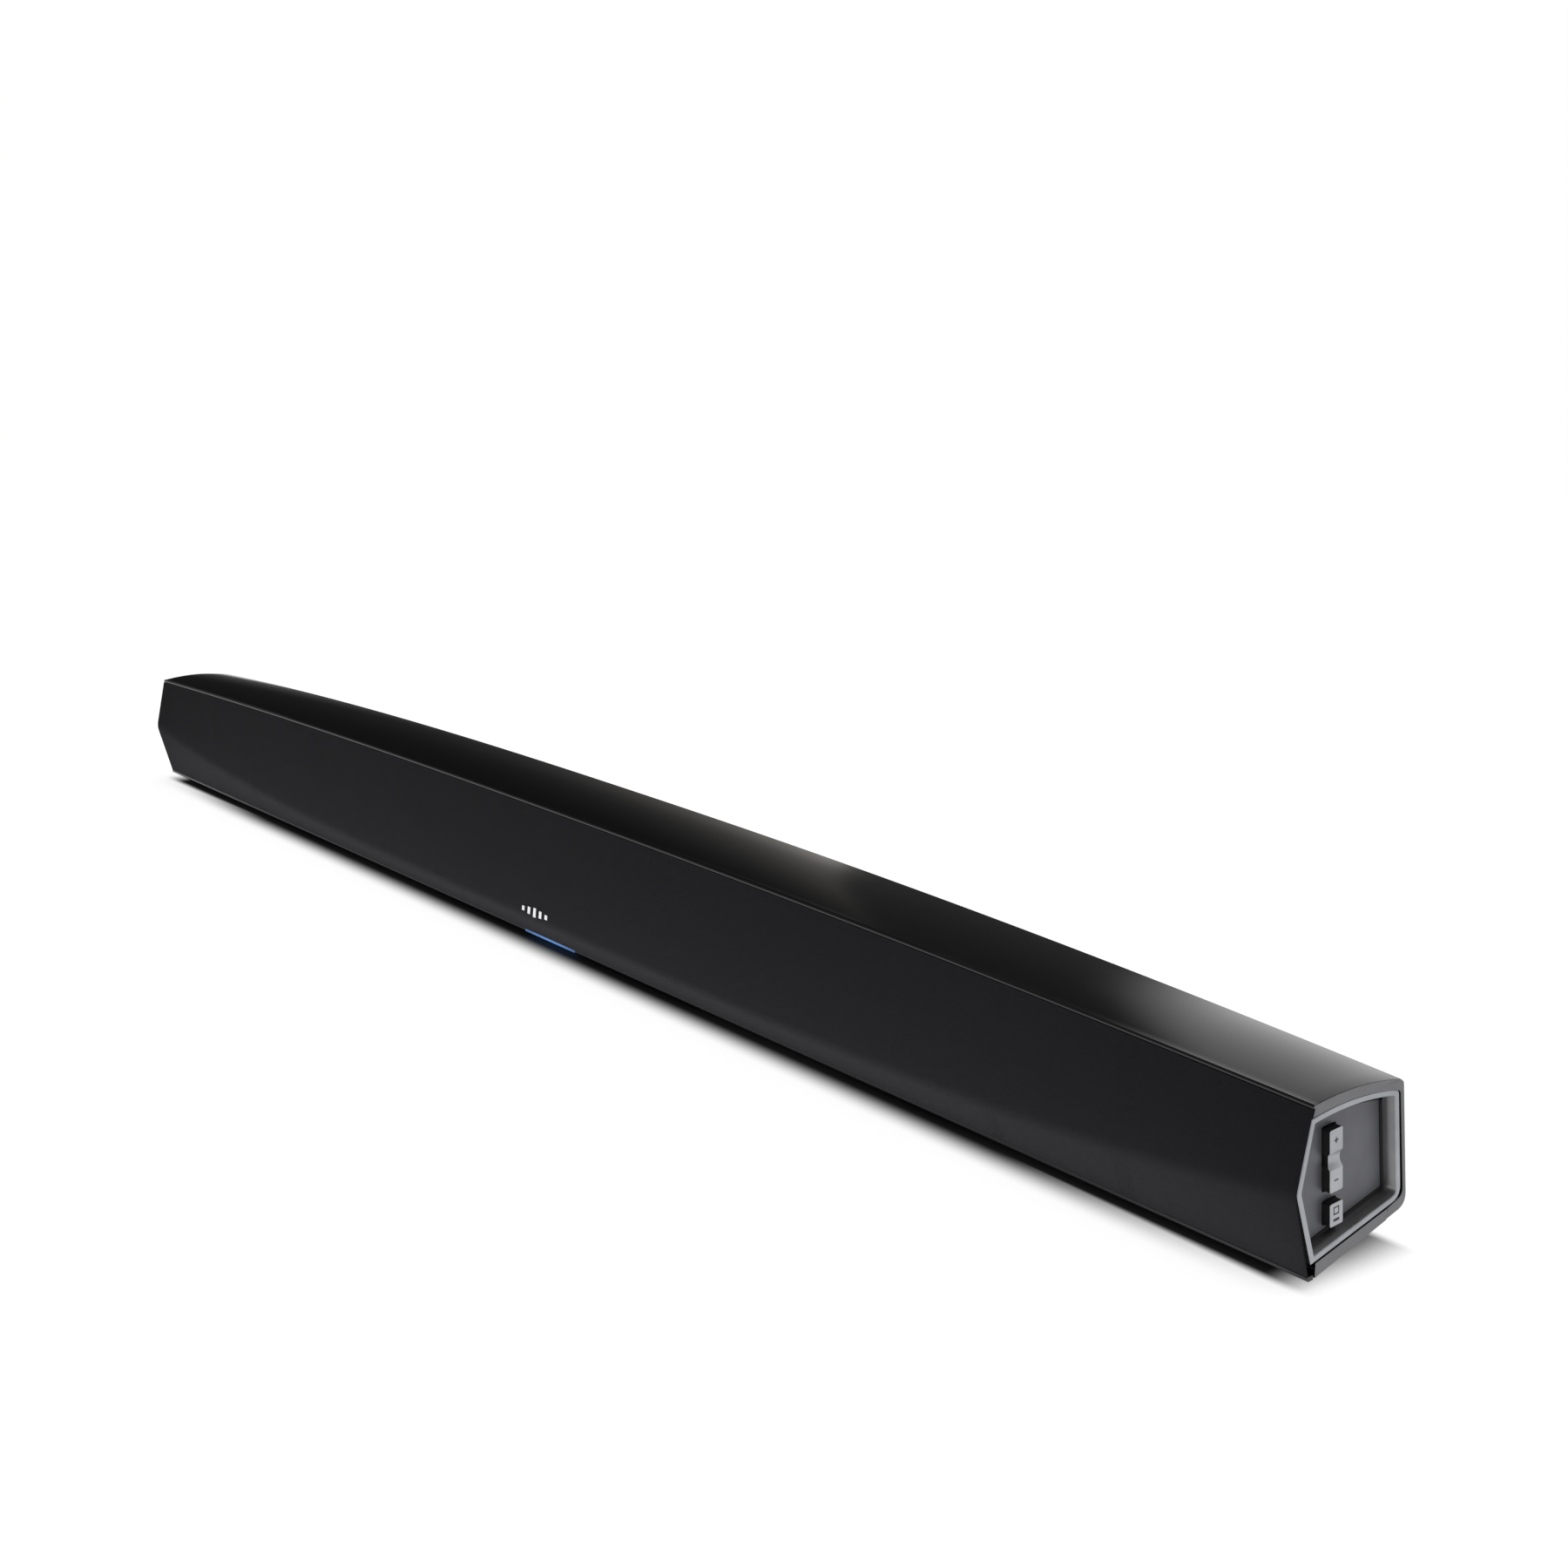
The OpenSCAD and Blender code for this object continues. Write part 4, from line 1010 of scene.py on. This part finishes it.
def drapeLight(tree):
    # Brightness and tint by direction, in degrees round the room and up from the floor
    facing = tree.nodes.new("ShaderNodeTexCoord").outputs["Generated"]
    way = addNode(tree, "ShaderNodeSeparateXYZ", {0: facing})
    around = mathNode(tree, "DEGREES", mathNode(tree, "ARCTAN2", way.outputs["Y"], way.outputs["X"]))
    up = mathNode(tree, "DEGREES", mathNode(tree, "ARCSINE", way.outputs["Z"]))
    upSquared = times(tree, up, up)
    cardTurn = less(tree, around, times(tree, upSquared, drapes["cardBow"]))
    brightTurn = less(tree, around, times(tree, upSquared, drapes["brightBow"]))
    bright = times(
        tree, smoothStep(tree, brightTurn, *drapes["brightEdge"]),
        smoothStep(tree, around, *drapes["brightFar"]),
        linearStep(tree, up, *drapes["brightHeight"], *drapes["brightLevel"]),
        smoothStep(tree, up, *drapes["brightTop"]),
    )
    past = linearStep(tree, cardTurn, *drapes["cardEdge"])
    beyond = mathNode(tree, "MAXIMUM", less(tree, cardTurn, drapes["cardEdge"][1]), 0.0)
    fading = mathNode(tree, "POWER", math.e, mathNode(tree, "DIVIDE", beyond, -drapes["glowFade"]))
    level = addNode(tree, "ShaderNodeFloatCurve", {"Value": mathNode(tree, "DIVIDE", up, 90.0)})
    curve = level.mapping.curves[0]
    curve.points[0].location = (0.0, drapes["glowLevel"][0][1])
    curve.points[1].location = (1.0, 0.0)
    for height, strength in drapes["glowLevel"]:
        curve.points.new(height / 90.0, strength)
    level.mapping.update()
    glow = times(tree, past, fading, level.outputs["Value"])
    horizon = linearStep(tree, up, 0.0, drapes["horizonHeight"], drapes["horizonLevel"], 0.0)
    rim = times(tree, smoothStep(tree, cardTurn, *drapes["rimEdge"]), horizon)
    front = times(
        tree, smoothStep(tree, around, *reversed(drapes["brightFar"])),
        smoothStep(tree, up, *drapes["frontHeight"], *drapes["frontLevel"]),
    )
    card = times(tree, less(tree, 1.0, past), drapes["cardLevel"])
    total = drapes["dark"]
    for part in (bright, glow, rim, front, card):
        total = plus(tree, part, total)
    share = mathNode(tree, "MINIMUM", times(tree, glow, drapes["tintGain"]), 1.0)
    tint = addNode(tree, "ShaderNodeMix", {"Factor": share}, data_type="RGBA")
    tint.inputs[6].default_value = (1, 1, 1, 1)
    tint.inputs[7].default_value = drapes["glowTint"]
    return total, tint.outputs[2]


def makeWorld():
    # White to the eye, dim for fill, and the drapes in the gloss
    world = bpy.data.worlds.new("studio")
    scene.world = world
    world.use_nodes = True
    tree = world.node_tree
    tree.nodes.clear()
    path = tree.nodes.new("ShaderNodeLightPath")
    seen = times(tree, path.outputs["Is Camera Ray"], studio["white"] - studio["ambient"])
    fill = plus(tree, seen, studio["ambient"])
    power, tint = drapeLight(tree)
    plain = addNode(tree, "ShaderNodeBackground", {"Color": (1, 1, 1, 1), "Strength": fill})
    gloss = addNode(tree, "ShaderNodeBackground", {"Color": tint, "Strength": power})
    choice = addNode(tree, "ShaderNodeMixShader", {0: path.outputs["Is Glossy Ray"]})
    out = tree.nodes.new("ShaderNodeOutputWorld")
    tree.links.new(plain.outputs[0], choice.inputs[1])
    tree.links.new(gloss.outputs[0], choice.inputs[2])
    tree.links.new(choice.outputs[0], out.inputs["Surface"])


keyLight = {"from": (0.42, 0.62, 1.9), "strength": 2.4, "softness": 62.0}


def makeKey():
    # One broad soft source, overhead and a little behind
    light = bpy.data.lights.new("overheadKey", "SUN")
    light.energy = keyLight["strength"]
    light.angle = math.radians(keyLight["softness"])
    obj = bpy.data.objects.new("overheadKey", light)
    obj.location = keyLight["from"]
    obj.rotation_euler = Vector(keyLight["from"]).to_track_quat("Z", "Y").to_euler()
    obj.visible_glossy = False
    scene.collection.objects.link(obj)


cameraView = {"place": (0.951, -0.595, 0.346), "tilt": 13.17, "turn": 52.61, "lens": 50.75, "sensor": 36.0}


def makeCamera():
    camera = bpy.data.cameras.new("camera")
    camera.sensor_width = cameraView["sensor"]
    camera.lens = cameraView["lens"]
    camera.clip_start = 0.01
    obj = bpy.data.objects.new("camera", camera)
    obj.location = cameraView["place"]
    obj.rotation_euler = (math.radians(90 - cameraView["tilt"]), 0, math.radians(cameraView["turn"]))
    scene.collection.objects.link(obj)
    scene.camera = obj


makeFloor()
makeWorld()
makeKey()
makeCamera()
scene.view_settings.view_transform = "Standard"
print("stage set")
